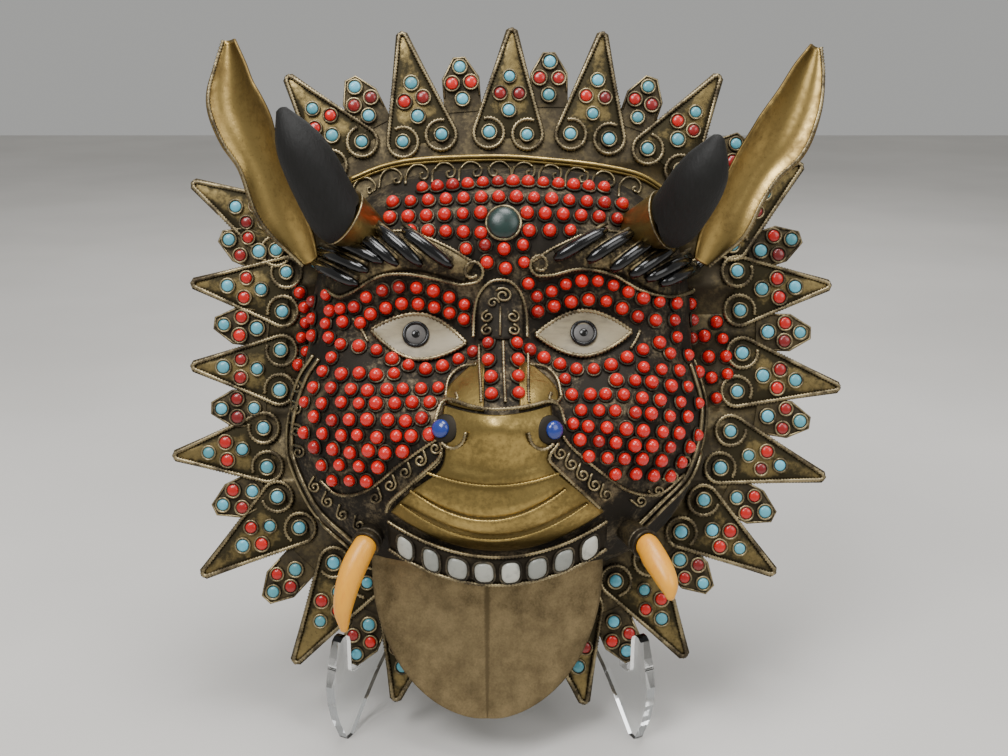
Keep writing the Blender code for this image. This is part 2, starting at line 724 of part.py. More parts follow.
def make_teeth():
    """Eight flat-backed rounded teeth, each on its own facet of the lip band."""
    for index in range(TOOTH_COUNT):
        start, end = band_edge(index + 1), band_edge(index + 2)
        low, high = band_point(start, 0), band_point(end, 0)
        sideways = (high - low).normalized()
        upward = (band_point(end, 1) - band_point(end, -1)).normalized()
        outward = upward.cross(sideways).normalized()
        if outward.y > 0:
            outward.negate()
        upward = sideways.cross(outward)
        if upward.z < 0:
            upward.negate()
        middle = (low + high) / 2 + outward * CLEARANCE * 2
        bm = half_globe(8, 6)
        bmesh.ops.contextual_create(bm, geom=[edge for edge in bm.edges if edge.is_boundary])
        for vert in bm.verts:
            across, rise, out = vert.co.x, vert.co.y, vert.co.z
            vert.co = (
                middle + sideways * across * TOOTH_SIZE[0] + upward * rise * TOOTH_SIZE[2]
                + outward * out * TOOTH_SIZE[1]
            )
        turn_outwards(bm)
        smooth(add_piece(f"tooth_{index + 1}", finish_mesh(bm, "tooth"), "tooth_white"))


def make_eyes(cutter):
    """Almond bone eyes with a low crown."""
    for side, (centre_x, centre_z, tilt) in EYES.items():
        turn = math.radians(-tilt)

        def place(u, v):
            lid = EYE_HALF_HEIGHT * (1 - abs(u) ** 1.8)
            off_x, off_z = u * EYE_HALF_LENGTH, v * lid
            x = centre_x * MM + off_x * math.cos(turn) - off_z * math.sin(turn)
            z = centre_z * MM + off_x * math.sin(turn) + off_z * math.cos(turn)
            return on_face(x, z, EYE_STAND + EYE_CROWN * (1 - u * u) * (1 - v * v))

        make_sheet(f"eye_{side}", "bone", (8, 4), place, 2 * EYE_STAND + EYE_CROWN, cutter)


def brow_point(side, u, v, above):
    """A point of a brow: u from the nose outwards, v from its lower to its upper edge, each -1 to 1."""
    lower = along_curve(BROW_LOWER, (u + 1) / 2)
    upper = along_curve(BROW_UPPER, (u + 1) / 2)
    share = (v + 1) / 2
    x = FACE_AXIS + side * (lower[0] + (upper[0] - lower[0]) * share) * MM
    z = (lower[1] + (upper[1] - lower[1]) * share) * MM
    return on_face(x, z, above)


def make_brows(cutter):
    """Flame-shaped brows, each with a row of slanting flutes fused on."""
    brows = {}
    for name, side in (("left", -1), ("right", 1)):
        def place(u, v):
            return brow_point(side, u, v, BROW_STAND + BROW_CROWN * (1 - v * v) * (1 - u**4))

        brow = make_sheet(f"brow_{name}", "dark_brass", BROW_CELLS, place, 2 * BROW_STAND + BROW_CROWN)
        for index in range(FLUTE_COUNT):
            foot_u = -0.72 + 1.5 * index / FLUTE_COUNT
            points = [brow_point(side, foot_u + 0.18 * step, -0.5 + 0.65 * step, FLUTE_LIFT) for step in range(3)]
            radii = [FLUTE_RADIUS * 0.6, FLUTE_RADIUS, FLUTE_RADIUS * 0.6]
            flute = make_tube(f"flute_{index}", None, points, radii, 4, CUTTERS)
            join_or_cut(brow, flute, "UNION")
            bpy.data.objects.remove(flute)
        join_or_cut(brow, cutter, "DIFFERENCE")
        brows[name] = smooth(brow)
    return brows


def make_nose(cutter):
    """The arched filigree panel between the eyes and the two wings of the nose."""
    def place_panel(u, v):
        arch = math.sqrt(max(0.0, 1 - u * u)) * 0.35 + 0.65
        top = PANEL_HALF_HEIGHT * arch
        z = PANEL_CENTRE[1] * MM + (-PANEL_HALF_HEIGHT + (top + PANEL_HALF_HEIGHT) * (v + 1) / 2)
        return on_face(PANEL_CENTRE[0] * MM + u * PANEL_HALF_WIDTH, z, PANEL_STAND)

    make_sheet("bridge_panel", "dark_brass", (4, 4), place_panel, 2 * PANEL_STAND, cutter)
    for name, side in (("left", -1), ("right", 1)):
        def place_wing(u, v):
            down = (1 - v) / 2
            width = WING_WIDTH * (0.25 + 0.75 * math.sin(math.pi / 2 * min(1.0, down * 1.15)))
            x = FACE_AXIS + side * (WING_INNER + width * (u + 1) / 2) * MM
            foot = muzzle_top(x) + WING_GAP * MM
            z = WING_TOP * MM + (foot - WING_TOP * MM) * down
            return on_face(x, z, WING_STAND)

        make_sheet(f"nose_wing_{name}", "bright_brass", (4, 4), place_wing, 2 * WING_STAND, cutter)


def make_set_stone(name, finish, at, radius, stand, cutter):
    """An oval cabochon that stands straight out of the face."""
    bm = bmesh.new()
    bmesh.ops.create_uvsphere(bm, u_segments=10, v_segments=6, radius=1)
    level = face_height(at[0] * MM, at[1] * MM)
    for vert in bm.verts:
        across, rise, out = vert.co.x, vert.co.y, vert.co.z
        vert.co = (at[0] * MM + across * radius, -level - out * stand, at[1] * MM + rise * radius)
    turn_outwards(bm)
    stone = add_piece(name, finish_mesh(bm, name), finish)
    join_or_cut(stone, cutter, "DIFFERENCE")
    return smooth(stone)


def make_seat(obj, stone, at, radius):
    """Opens a seat in a sheet round a stone, a clearance wider than the stone."""
    bm = bmesh.new()
    bmesh.ops.create_cone(bm, cap_ends=True, segments=10, radius1=radius, radius2=radius, depth=200 * MM)
    for vert in bm.verts:
        vert.co = Vector((at[0] * MM + vert.co.x, vert.co.z, at[1] * MM + vert.co.y))
    turn_outwards(bm)
    seat = add_piece(f"{stone.name}_seat", finish_mesh(bm, "seat"), collection=CUTTERS)
    join_or_cut(obj, seat, "DIFFERENCE")
    bpy.data.objects.remove(seat)


def path_point(station):
    return Vector((station[0] * MM, -station[2] * MM, station[1] * MM))


def make_horns(cutter, brows):
    """Curved horns in flared collars, with the brows cut away round the collars."""
    for side, path in HORN_PATHS.items():
        points = [path_point(station) for station in path]
        collar_end = points[1]
        seat = (collar_end - points[0]).normalized()
        radii = [r * MM for r in COLLAR_RADII]
        collar = make_tube(f"horn_collar_{side}", "aged_brass", [points[0], collar_end], radii, 12)
        join_or_cut(collar, cutter, "DIFFERENCE")
        smooth(collar)
        ends = [points[0] - seat * MM, collar_end + seat * MM]
        room = make_tube("collar_room", None, ends, [r + 2 * CLEARANCE for r in radii], 12, CUTTERS)
        join_or_cut(brows[side], room, "DIFFERENCE")
        bpy.data.objects.remove(room)
        start = collar_end + seat * CLEARANCE
        horn_points = [start, start + seat * HORN_STRAIGHT, *points[3:]]
        radii = [r * MM for r in HORN_RADII]
        smooth(make_tube(f"horn_{side}", "horn_grey", horn_points, radii, 12))


def make_ears(cutter):
    """Leaf-shaped ears of thin sheet, cupped along their length."""
    for side, stations in EAR_STATIONS.items():
        outward = -1 if side == "left" else 1

        def place(u, v):
            x, z, height, half = along_curve(stations, (v + 1) / 2)
            nearer = along_curve(stations, (v + 1) / 2 - 0.02)
            further = along_curve(stations, (v + 1) / 2 + 0.02)
            way = Vector((further[0] - nearer[0], further[1] - nearer[1])).normalized()
            cup = EAR_CUP * half * u * u - 0.35 * half * u * outward
            across = Vector((way.y, -way.x)) * half * u
            return Vector(((x + across.x) * MM, -(height + cup) * MM, (z + across.y) * MM))

        make_sheet(f"ear_{side}", "bright_brass", EAR_CELLS, place, EAR_SHEET, cutter)


def make_tusks(cutter):
    """Curved bone tusks in short metal sockets."""
    for side, path in TUSK_PATHS.items():
        ends = [path_point(station) for station in SOCKET_PATHS[side]]
        socket = make_tube(f"tusk_socket_{side}", "dark_brass", ends, [r * MM for r in SOCKET_RADII], 10)
        join_or_cut(socket, cutter, "DIFFERENCE")
        smooth(socket)
        points = [path_point(station) for station in path]
        way = (ends[1] - ends[0]).normalized()
        points[0] = ends[1] + way * CLEARANCE
        points.insert(1, points[0] + way * 2 * MM)
        radii = [TUSK_RADII[0] * MM, *[r * MM for r in TUSK_RADII]]
        smooth(make_tube(f"tusk_{side}", "tusk_yellow", points, radii, 10))


def make_tongue(cutter):
    """Hanging sheet tongue, folded lightly down its middle."""
    def place(u, v):
        down = (1 - v) / 2
        z = TONGUE_ROOT + (TONGUE_TIP - TONGUE_ROOT) * math.sin(down * math.pi / 2)
        fall = min(1.0, max(0.0, (TONGUE_WIDEST - z) / (TONGUE_WIDEST - TONGUE_TIP)))
        half = TONGUE_HALF_WIDTH * math.sqrt(max(0.0, 1 - fall * fall))
        height = TONGUE_HEIGHT + (TONGUE_TIP_HEIGHT - TONGUE_HEIGHT) * fall
        off = u * half / TONGUE_HALF_WIDTH
        crease = TONGUE_FOLD * max(0.0, 1 - abs(off) * 8)
        return Vector((TONGUE_AXIS + u * half, -(height - TONGUE_SIDE_FALL * off * off - crease), z))

    return make_sheet("tongue", "aged_brass", TONGUE_CELLS, place, TONGUE_SHEET, cutter)


def arc(centre, radius, start, end):
    """Points of an arc in degrees, in a profile's own plane."""
    turns = [math.radians(start + (end - start) * k / ARC_STEPS) for k in range(ARC_STEPS + 1)]
    return [Vector((centre[0] + radius * math.cos(t), centre[1] + radius * math.sin(t))) for t in turns]


def easel_profile():
    """Side profile of one leg: hooked lip, leaning rest, rear upright and an arched underside."""
    slope = math.tan(LEAN) / math.cos(EASEL_SPREAD)
    plate_back = PLATE_S - (PLATE_THICKNESS + CLEARANCE) / math.cos(LEAN) / math.cos(EASEL_SPREAD)
    rest_foot = plate_back - EASEL_THICKNESS / 2 * math.tan(EASEL_SPREAD)
    rest_top = rest_foot - (EASEL_TOP - NOTCH_HEIGHT) * slope
    lip_back = PLATE_S + NOTCH_AHEAD
    lip_middle = lip_back + LIP_WIDTH / 2
    lip = arc((lip_middle, LIP_TOP - LIP_WIDTH / 2), LIP_WIDTH / 2, 180, 0)
    front = [Vector((lip_middle + ahead * MM, up * MM)) for ahead, up in LIP_FRONT[1:]]
    fillet = arc((lip_back - NOTCH_FILLET, NOTCH_HEIGHT + NOTCH_FILLET), NOTCH_FILLET, 270, 360)
    foot = PLATE_S + FOOT_AHEAD
    arch_start = foot - FOOT_LENGTH
    arch = [
        Vector((arch_start + (REAR_FOOT_LENGTH - arch_start) * k / 10, ARCH_HEIGHT * math.sin(math.pi * k / 10)))
        for k in range(1, 10)
    ]
    return [
        Vector((0, 0)), Vector((0, EASEL_REAR_TOP)), Vector((rest_top - 14 * MM, EASEL_TOP)),
        Vector((rest_top, EASEL_TOP)), Vector((rest_foot, NOTCH_HEIGHT)), *fillet, *lip, *front,
        Vector((foot, 0)), Vector((arch_start, 0)), *arch, Vector((REAR_FOOT_LENGTH, 0)),
    ]


def make_easel():
    """Clear easel: two upright profiles cemented in a V at the back."""
    profile = easel_profile()
    rear_y = PLATE_S * math.cos(EASEL_SPREAD)
    legs = []
    for side in (-1, 1):
        leg = flat_piece(f"easel_leg_{side}", [profile], EASEL_THICKNESS, parent=None)
        leg.rotation_mode = "XYZ"
        leg.rotation_euler = (math.pi / 2, 0, -math.pi / 2 + side * EASEL_SPREAD)
        leg.location = (EASEL_CENTRE, rear_y, 0)
        bpy.context.view_layer.update()
        leg.data.transform(leg.matrix_world)
        leg.rotation_euler = (0, 0, 0)
        leg.location = (0, 0, 0)
        legs.append(leg)
    easel, other = legs
    easel.name = "easel"
    easel.data.materials.append(FINISHES["clear_acrylic"])
    join_or_cut(easel, other, "UNION")
    bpy.data.objects.remove(other)
    return easel


def lean_mask_into_easel():
    """Puts the lowest short ray on the notches' floor, with the plate's back along the easel's rests."""
    ends = [short_ray_frame(index) for index, tip in enumerate(SHORT_RAY_TIPS) if tip]
    lowest = min(tip.y - abs(across.y) * SHORT_RAY_TIP_HALF_WIDTH for tip, _, across in ends)
    floor = NOTCH_HEIGHT + CLEARANCE + PLATE_THICKNESS * math.sin(LEAN)
    MASK_FRAME.rotation_euler = (-LEAN, 0, 0)
    MASK_FRAME.location = (0, -lowest * math.sin(LEAN), floor - lowest * math.cos(LEAN))


def stand_on_origin(easel):
    """Moves everything so that the middle of the overall box's floor is the origin."""
    bpy.context.view_layer.update()
    corners = [
        obj.matrix_world @ vert.co for obj in PIECES.objects if obj.type == "MESH" for vert in obj.data.vertices
    ]
    lows = [min(corner[k] for corner in corners) for k in range(3)]
    highs = [max(corner[k] for corner in corners) for k in range(3)]
    shift = Vector((-(lows[0] + highs[0]) / 2, -(lows[1] + highs[1]) / 2, -lows[2]))
    MASK_FRAME.location += shift
    easel.location += shift


def main():
    cutter = make_face_cutter()
    make_ray_plate()
    make_face_shell()
    muzzle = make_muzzle(cutter)
    make_lip_band(cutter)
    make_teeth()
    make_eyes(cutter)
    brows = make_brows(cutter)
    make_nose(cutter)
    make_set_stone(
        "forehead_stone", "dark_green_stone", FOREHEAD_STONE, FOREHEAD_STONE_RADIUS, FOREHEAD_STONE_STAND, cutter
    )
    for side, at in NOSTRIL_STONES.items():
        stone = make_set_stone(
            f"nostril_stone_{side}", "blue_stone", at, NOSTRIL_STONE_RADIUS, NOSTRIL_STONE_STAND, cutter
        )
        make_seat(muzzle, stone, at, NOSTRIL_STONE_RADIUS + CLEARANCE)
    make_horns(cutter, brows)
    make_ears(cutter)
    make_tusks(cutter)
    make_tongue(cutter)
    easel = make_easel()
    lean_mask_into_easel()
    stand_on_origin(easel)
    bpy.data.objects.remove(cutter)


main()
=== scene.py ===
"""Dresses the cham mask: aged brass, filigree wire, coral, turquoise, bone and horn over its solids.

The mask is drawn in its own frame in millimetres: X to the right, Z up along the ray plate, -Y forward out of the
face, with the origin in the middle of the ray plate's front. MASK turns and scales that frame to where it leans.
Places that were measured in the photograph are written as pixels and go through seen().
"""

import json
import math
import random

import bmesh
import bpy
from bpy.props import FloatProperty, FloatVectorProperty, PointerProperty
from mathutils import Matrix, Vector


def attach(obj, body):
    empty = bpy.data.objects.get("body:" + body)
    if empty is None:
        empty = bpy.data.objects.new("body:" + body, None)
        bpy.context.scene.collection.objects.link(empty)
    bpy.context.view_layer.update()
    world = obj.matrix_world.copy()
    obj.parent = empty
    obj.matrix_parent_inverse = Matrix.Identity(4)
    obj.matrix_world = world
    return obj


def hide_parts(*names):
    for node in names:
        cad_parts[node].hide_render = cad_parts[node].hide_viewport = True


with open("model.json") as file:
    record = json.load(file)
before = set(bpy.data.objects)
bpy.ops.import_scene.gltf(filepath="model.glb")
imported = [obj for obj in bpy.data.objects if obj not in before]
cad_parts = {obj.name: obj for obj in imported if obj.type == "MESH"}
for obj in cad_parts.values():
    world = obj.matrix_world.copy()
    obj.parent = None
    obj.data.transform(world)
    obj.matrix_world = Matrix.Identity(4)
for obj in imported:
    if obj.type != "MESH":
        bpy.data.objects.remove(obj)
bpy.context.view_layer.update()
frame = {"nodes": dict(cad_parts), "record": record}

bl_info = {
    "name": "Cham Mask",
    "version": (1, 0, 0),
    "blender": (4, 2, 0),
    "location": "View3D > Sidebar > Cham Mask",
    "description": "Builds the beads, wires and metalwork of a cham mask on its solids",
    "category": "Object",
}

# Rays: each long ray is its tip and the middle of its two loops, clockwise from the top (x, z)
LONG_RAYS = (
    ((3, 175.5), (1, 122)), ((48.5, 173.5), (42, 120.5)), ((107, 152), (79, 109)), ((148.5, 107.5), (107, 74)),
    ((163, 46.5), (116, 43.5)), ((167.5, -5), (116.5, 3)), ((160, -50), (109.5, -35.5)), ((135, -98), (93, -69)),
    ((90, -140), (63, -96)), ((39.5, -163.5), (31, -116)), ((-55.5, -162), (-46, -116)),
    ((-106, -143), (-77.5, -97)), ((-152.5, -99), (-108.5, -67)), ((-167, -39), (-120, -34.5)),
    ((-158, 6), (-112.5, 4)), ((-158, 47.5), (-110.5, 43)), ((-157.5, 98), (-110, 72)),
    ((-110, 151.5), (-79.5, 112)), ((-52.5, 173.5), (-42, 119.5)),
)
# Tip of the short ray that follows each long ray, or None where the tongue leaves no room for one
SHORT_RAY_TIPS = (
    (21.5, 163), (73, 150.5), (118, 121), (147.5, 70.5), (152.5, 22.5), (152, -22.5), (134, -69.5),
    (102, -106), (62.5, -141.5), None, (-77, -142.8), (-120, -111), (-146, -66), (-147.5, -15),
    (-146, 27.5), (-143, 71), (-126, 122), (-78, 150), (-23.5, 160.5),
)
# From the mount on the mask's back to the middle of the plate's front, in metres
MOUNT_OFF = (0.085, 0.0016, 0.020)
PLATE_THICKNESS = 1.6
LOOP_RADIUS = 7.5
LOOP_SPREAD = 9.7
LOOP_OPENING = math.radians(50)
WIRE_RADIUS = 1.3
RAY_TIP_RADIUS = 1.6
RAY_MARGIN = 0.7
SHORT_HALF_WIDTH = 9.4
SHORT_TIP_HALF_WIDTH = 3.0
SHORT_SHOULDER = 10.5
HOLE_HALF = (50, 66)
HOLE_CENTRE = (-2, 6)
# Stones on a ray: distance along it, distance across it and which stone
LONG_CLUSTER = ((11.6, 0, "turquoise"), (19.8, -4.7, "coral"), (19.8, 4.7, "coral"), (28.2, 0, "turquoise"))
SHORT_CLUSTER = ((21.6, 0, "turquoise"), (13.6, -4.7, "coral"), (13.6, 4.7, "coral"), (5.6, 0, "turquoise"))

# Face: a superellipse footprint and forms added to a dome (x, z, half-breadth, half-height, height)
FACE_CENTRE = (-3.4, 4)
FACE_HALF = (103, 100)
FACE_DOME = 44
FACE_AXIS = -2
FACE_FORMS = (
    (0, 76, 46, 15, 8), (-46, 54, 30, 9, 4), (44, 54, 30, 9, 4), (-41, 19, 21, 10, -7), (37, 21, 21, 10, -7),
    (-61, -20, 22, 22, 14), (58, -20, 22, 22, 14), (-2, 6, 8, 19, 12), (-18, -7, 8, 8, 7), (15, -7, 8, 8, 7),
    (-2, -21, 19, 10, 14), (-4, -53, 33, 30, 27),
)

# Crown ridge over the forehead, as pixels
RIDGE = (
    (349, 180), (384, 166), (425, 159), (498, 156.5), (545, 159.5), (589, 164), (625, 170.5), (645, 177),
    (664, 189),
)

# Strings of coral beads: pixels that the string passes, and how many beads it has
BEAD_STRINGS = (
    (((423, 190), (513, 184), (603, 190)), 13), (((394, 204), (508, 199), (621, 206)), 14),
    (((391, 219), (440, 216), (481, 214)), 6), (((527, 214), (570, 216), (616, 220)), 6),
    (((411, 232), (450, 232), (481, 233)), 5), (((529, 231), (548, 231), (570, 231)), 3),
    (((466, 249), (485, 245), (504, 249), (523, 245)), 4), (((487, 262), (506, 268), (524, 262)), 3),
    (((367, 297), (394, 287), (430, 289), (465, 304)), 7), (((371, 314), (401, 303), (433, 306), (465, 319)), 7),
    (((528, 283), (538, 296), (570, 282), (602, 281), (650, 300), (690, 304)), 12),
    (((537, 311), (570, 301), (605, 300), (645, 319), (690, 320)), 10),
    (((490, 344), (490, 360), (492, 378), (492, 396)), 4), (((515, 344), (516, 360), (517, 378), (518, 395)), 4),
    (((300, 293), (305, 309), (306, 323), (302, 337), (307, 350), (299, 365)), 6), (((315, 302), (315, 336)), 3),
    (((716, 322), (724, 345), (727, 374)), 4), (((704, 336), (708, 355), (711, 378), (716, 398)), 4),
    (((329, 295), (332, 311)), 2), (((342, 309), (355, 307)), 2), (((344, 322), (361, 323)), 2),
    (((328, 324), (331, 338)), 2), (((342, 345), (373, 350), (397, 363), (430, 371), (460, 361), (475, 353)), 9),
    (((528, 351), (548, 362), (580, 371), (610, 367), (640, 352), (672, 338), (692, 338)), 11),
)
BEAD_FIELDS = (
    ((306, 355), (335, 342), (356, 340), (372, 353), (392, 364), (418, 369), (446, 361), (470, 350), (479, 352),
     (462, 366), (446, 380), (440, 402), (436, 425), (428, 440), (402, 454), (374, 480), (347, 487), (326, 475),
     (308, 440), (302, 400)),
    ((526, 350), (548, 358), (574, 368), (602, 366), (630, 352), (644, 341), (668, 336), (694, 342), (701, 380),
     (699, 412), (693, 447), (677, 473), (655, 488), (630, 485), (600, 467), (575, 448), (565, 432), (562, 402),
     (556, 385), (540, 366)),
)
# Fill of a bead field, in pixels: rows and columns between two limits, pushed about and kept clear of the strings
FIELD_ROWS = (340, 492)
FIELD_COLUMNS = (290, 720)
FIELD_PITCH = 17.6
FIELD_ROW_SHARE = 0.86
FIELD_JITTER = 1.6
FIELD_WAVE = (5, 60)
FIELD_CLEARANCE = 14.5
FEWEST_BEADS = 100

EYES = {"left": (-40.6, 19.2, 8, (416, 336.6)), "right": (36.0, 20.8, -2, (583.2, 336))}
EYE_HALF = (22.4, 10.6)
BROW_LOWER = ((17, 44), (30, 47), (44, 49.5), (58, 46.5), (72, 39.5), (82, 38))
BROW_UPPER = ((12.5, 52.5), (26, 60.5), (44, 67.5), (60, 66), (75, 60), (87, 51.5))
BROW_TUBES = {
    "left": (
        ((406, 234), (453, 266)), ((380, 231), (423, 265)), ((357, 233), (400, 265)), ((336, 241), (386, 263)),
        ((323, 252), (372, 271)), ((320, 265), (362, 284)),
    ),
    "right": (
        ((554, 259), (604, 233)), ((586, 261), (630, 236)), ((609, 269), (651, 242)), ((627, 275), (671, 248)),
        ((642, 279), (690, 256)), ((655, 284), (703, 263)),
    ),
}
HORN_PATHS = {
    "left": ((-61, 66, 36), (-75.3, 74.3, 46), (-83, 85, 52.5), (-89, 97, 58), (-95, 108.5, 62), (-100.5, 120, 64)),
    "right": ((58, 69, 36), (73.5, 73, 47), (80, 79, 57), (85, 86.5, 66), (89, 95.5, 73), (92.5, 105, 78)),
}
EAR_STATIONS = {
    "left": (
        (-93.5, 55, 25, 4), (-98, 64, 28, 7.5), (-103.5, 73, 30, 10.2), (-109, 83, 31, 11.3), (-116, 102, 32, 10.8),
        (-122, 116, 33, 13.4), (-128.5, 131, 33, 12.6), (-130, 145.5, 33, 8.2), (-131, 159.5, 33, 2.6),
    ),
    "right": (
        (93.5, 55, 25, 4), (98.5, 64, 28, 8), (104.5, 73.5, 30, 11), (112, 88, 31, 10.8), (119.5, 101, 32, 11.6),
        (129, 113, 33, 13.6), (137, 128, 33, 11.6), (142.5, 143.5, 33, 7.8), (146.5, 156.5, 33, 2.4),
    ),
}
TUSK_PATHS = {
    "left": ((-65.2, -77.5, 47), (-69.5, -86, 50), (-72.8, -96, 52), (-74.5, -106, 52.5), (-74, -115.5, 51.5)),
    "right": ((64.5, -77, 52), (67.5, -82, 57.5), (70.5, -87.5, 62), (72.5, -93, 65.5), (73, -98, 67.5)),
}
SOCKET_PATHS = {
    "left": ((-60.5, -69, 34), (-65, -77, 46)),
    "right": ((53.5, -68.5, 32), (63.9, -76.2, 51)),
}

# Muzzle: half-widths from top to foot, the arches of its top and foot, and its folds as pixel parabolas
# (middle, lowest row, bend, how far the rope on it reaches)
MUZZLE_HALVES = ((24,), (24.5,), (23,), (26,), (39,), (48.5,))
MUZZLE_TOP, MUZZLE_TOP_ARCH = -12, 4
MUZZLE_FOOT, MUZZLE_FOOT_ARCH = -61, 18
MUZZLE_FOLDS = ((494, 485.5, 0.0033, 66), (488, 518, 0.0052, 76), (494, 536, 0.0041, 92))
FOLD_STEP = 0.62
FOLD_SWELL = 0.55

# Lip band: its middle line is a parabola in height and in place, and it leans back over its half-breadth
BAND_REACH = 50.5
BAND_HALF = 6.4
BAND_MIDDLE, BAND_CURVE = -88.3, 6.0
BAND_HEIGHT, BAND_FALL = 55, 3.6
BAND_LEAN = 0.35
TEETH = 8
TOOTH_PITCH = 12
TOOTH_HALF = (4.5, 5.3, 2.6)
TOOTH_SQUARENESS = 0.72

# Tongue: straight down to its shoulder and rounded below it
TONGUE_MIDDLE = -9
TONGUE_TOP, TONGUE_LENGTH = -84, 79.5
TONGUE_SHOULDER, TONGUE_ROUNDING = -92, 71.5
TONGUE_HALF = 55.5
TONGUE_HEIGHT = 33

# Studio: name, place, size and watts of each light, in metres, and the point that they are turned to
LIGHTS = (
    ("key", (-0.6, -0.9, 1.5), 0.7, 24), ("fill", (1.1, -0.9, 1.1), 1.0, 10),
    ("top", (0.1, -0.1, 1.5), 0.6, 16), ("back", (0.2, 1.3, 1.2), 1.2, 6),
)
LIGHTS_AIM = (0, 0, 0.17)
SKY = (0.80, 0.80, 0.78, 1)
SKY_STRENGTH = 0.5
FLOOR_HALF = 3

# Camera of the photograph, in the mask's frame
EYE_POINT = Vector((-1, -600, 0))
FOCAL_PIXELS = 1200
PICTURE_MIDDLE = (504, 378)
WIDE_SENSOR = 36


def mask_matrix():
    """From the mask's own frame in millimetres to the row frame, found from the mount on its back."""
    mount = next(m for m in frame["record"]["mounts"] if m["name"] == "mask_back")
    across = Vector((1, 0, 0))
    back = Vector(mount["axis"]).normalized()
    up = across.cross(back)
    origin = Vector(mount["pos_m"]) + across * MOUNT_OFF[0] - back * MOUNT_OFF[1] - up * MOUNT_OFF[2]
    turn = Matrix((across, back, up)).transposed().to_4x4()
    return Matrix.Translation(origin) @ turn @ Matrix.Scale(0.001, 4)


MASK = mask_matrix()


class Tap:
    """A shader socket that Python's own operators work on."""

    def __init__(self, tree, socket=None):
        self.tree, self.socket = tree, socket

    def node(self, kind, settings=None, sockets=None, output=0):
        """Adds a node: its settings first, then its sockets' values or links."""
        made = self.tree.nodes.new(kind)
        for name, value in (settings or {}).items():
            setattr(made, name, value)
        for name, value in (sockets or {}).items():
            if isinstance(value, Tap):
                self.tree.links.new(value.socket, made.inputs[name])
            else:
                made.inputs[name].default_value = value
        return Tap(self.tree, made.outputs[output])

    def maths(self, operation, *values):
        return self.node("ShaderNodeMath", {"operation": operation}, dict(enumerate(values)))

    def __add__(self, other):
        return self.maths("ADD", self, other)

    def __sub__(self, other):
        return self.maths("SUBTRACT", self, other)

    def __rsub__(self, other):
        return self.maths("SUBTRACT", other, self)

    def __mul__(self, other):
        return self.maths("MULTIPLY", self, other)

    __radd__ = __add__
    __rmul__ = __mul__

    def step(self, low, high):
        """0 below low and 1 above high, smooth between."""
        return self.node(
            "ShaderNodeMapRange", {"interpolation_type": "SMOOTHSTEP"}, {0: self, 1: low, 2: high, 3: 0.0, 4: 1.0}
        )

    def noise(self, scale, detail=3.0, roughness=0.55):
        return self.node(
            "ShaderNodeTexNoise", None, {"Vector": self, "Scale": scale, "Detail": detail, "Roughness": roughness}
        )

    def mix(self, first, second):
        """From the first colour to the second as this socket goes from 0 to 1."""
        first = first if isinstance(first, Tap) else (*first, 1)
        second = second if isinstance(second, Tap) else (*second, 1)
        return self.node("ShaderNodeMix", {"data_type": "RGBA"}, {0: self, 6: first, 7: second}, 2)

    def bump(self, strength, distance):
        return self.node("ShaderNodeBump", None, {"Height": self, "Strength": strength, "Distance": distance})


def new_finish(name, recipe, **plain):
    """A material whose recipe gives the sockets that vary, and whose plain values stand on the shader."""
    if name in bpy.data.materials:
        return bpy.data.materials[name]
    made = bpy.data.materials.new(name)
    made.use_nodes = True
    tree = made.node_tree
    shader = tree.nodes["Principled BSDF"]
    for socket, value in plain.items():
        shader.inputs[socket.replace("_", " ")].default_value = value
    tap = Tap(tree)
    coords = tap.node("ShaderNodeTexCoord", output="Object")
    tone = tap.node("ShaderNodeAttribute", {"attribute_name": "tone"}, output="Fac")
    for socket, value in recipe(coords, tone).items():
        if isinstance(value, Tap):
            tree.links.new(value.socket, shader.inputs[socket])
        else:
            shader.inputs[socket].default_value = value
    return made


def brass(name, bright, dark, rough, wear_and_shade_limits=(0.40, 0.62), scale=1.0, metallic=1.0, relief=0.25):
    """Patinated brass: bright where noise marks it rubbed, dark elsewhere and where tone rises; on most sheets tone is
    painted shade near wires and in creases.
    """

    def recipe(coords, tone):
        broad = coords.noise(38 * scale, 4.0)
        fine = coords.noise(330 * scale, 4.0, 0.65)
        # Rubbed wear from noise, lowered where tone rises, so this mask also holds painted shade near wires and in
        # creases
        rubbed_and_unshaded = (broad * 0.62 + fine * 0.38 - tone * 0.34).step(*wear_and_shade_limits)
        specks = coords.noise(900, 2.0).step(0.60, 0.74)
        colour = (specks * 0.5).mix(rubbed_and_unshaded.mix(dark, bright), dark)
        return {
            "Base Color": colour,
            "Roughness": (rough + 0.24) - rubbed_and_unshaded * 0.24,
            "Normal": (fine * 0.7 + broad * 0.3).bump(relief, 0.0006),
        }

    return new_finish(name, recipe, Metallic=metallic)


def stone(name, light, deep, rough, coat=0.3, veins=0.5, metallic=0.0):
    """A polished or chipped stone whose tone runs from deep to light, with cloudy veins."""

    def recipe(coords, tone):
        cloud = coords.noise(260, 3.0)
        colour = (cloud.step(0.45, 0.75) * veins).mix(tone.mix(deep, light), deep)
        return {"Base Color": colour, "Normal": coords.noise(700, 2.0).bump(0.12, 0.0004)}

    return new_finish(name, recipe, Roughness=rough, Coat_Weight=coat, Coat_Roughness=0.12, Metallic=metallic)


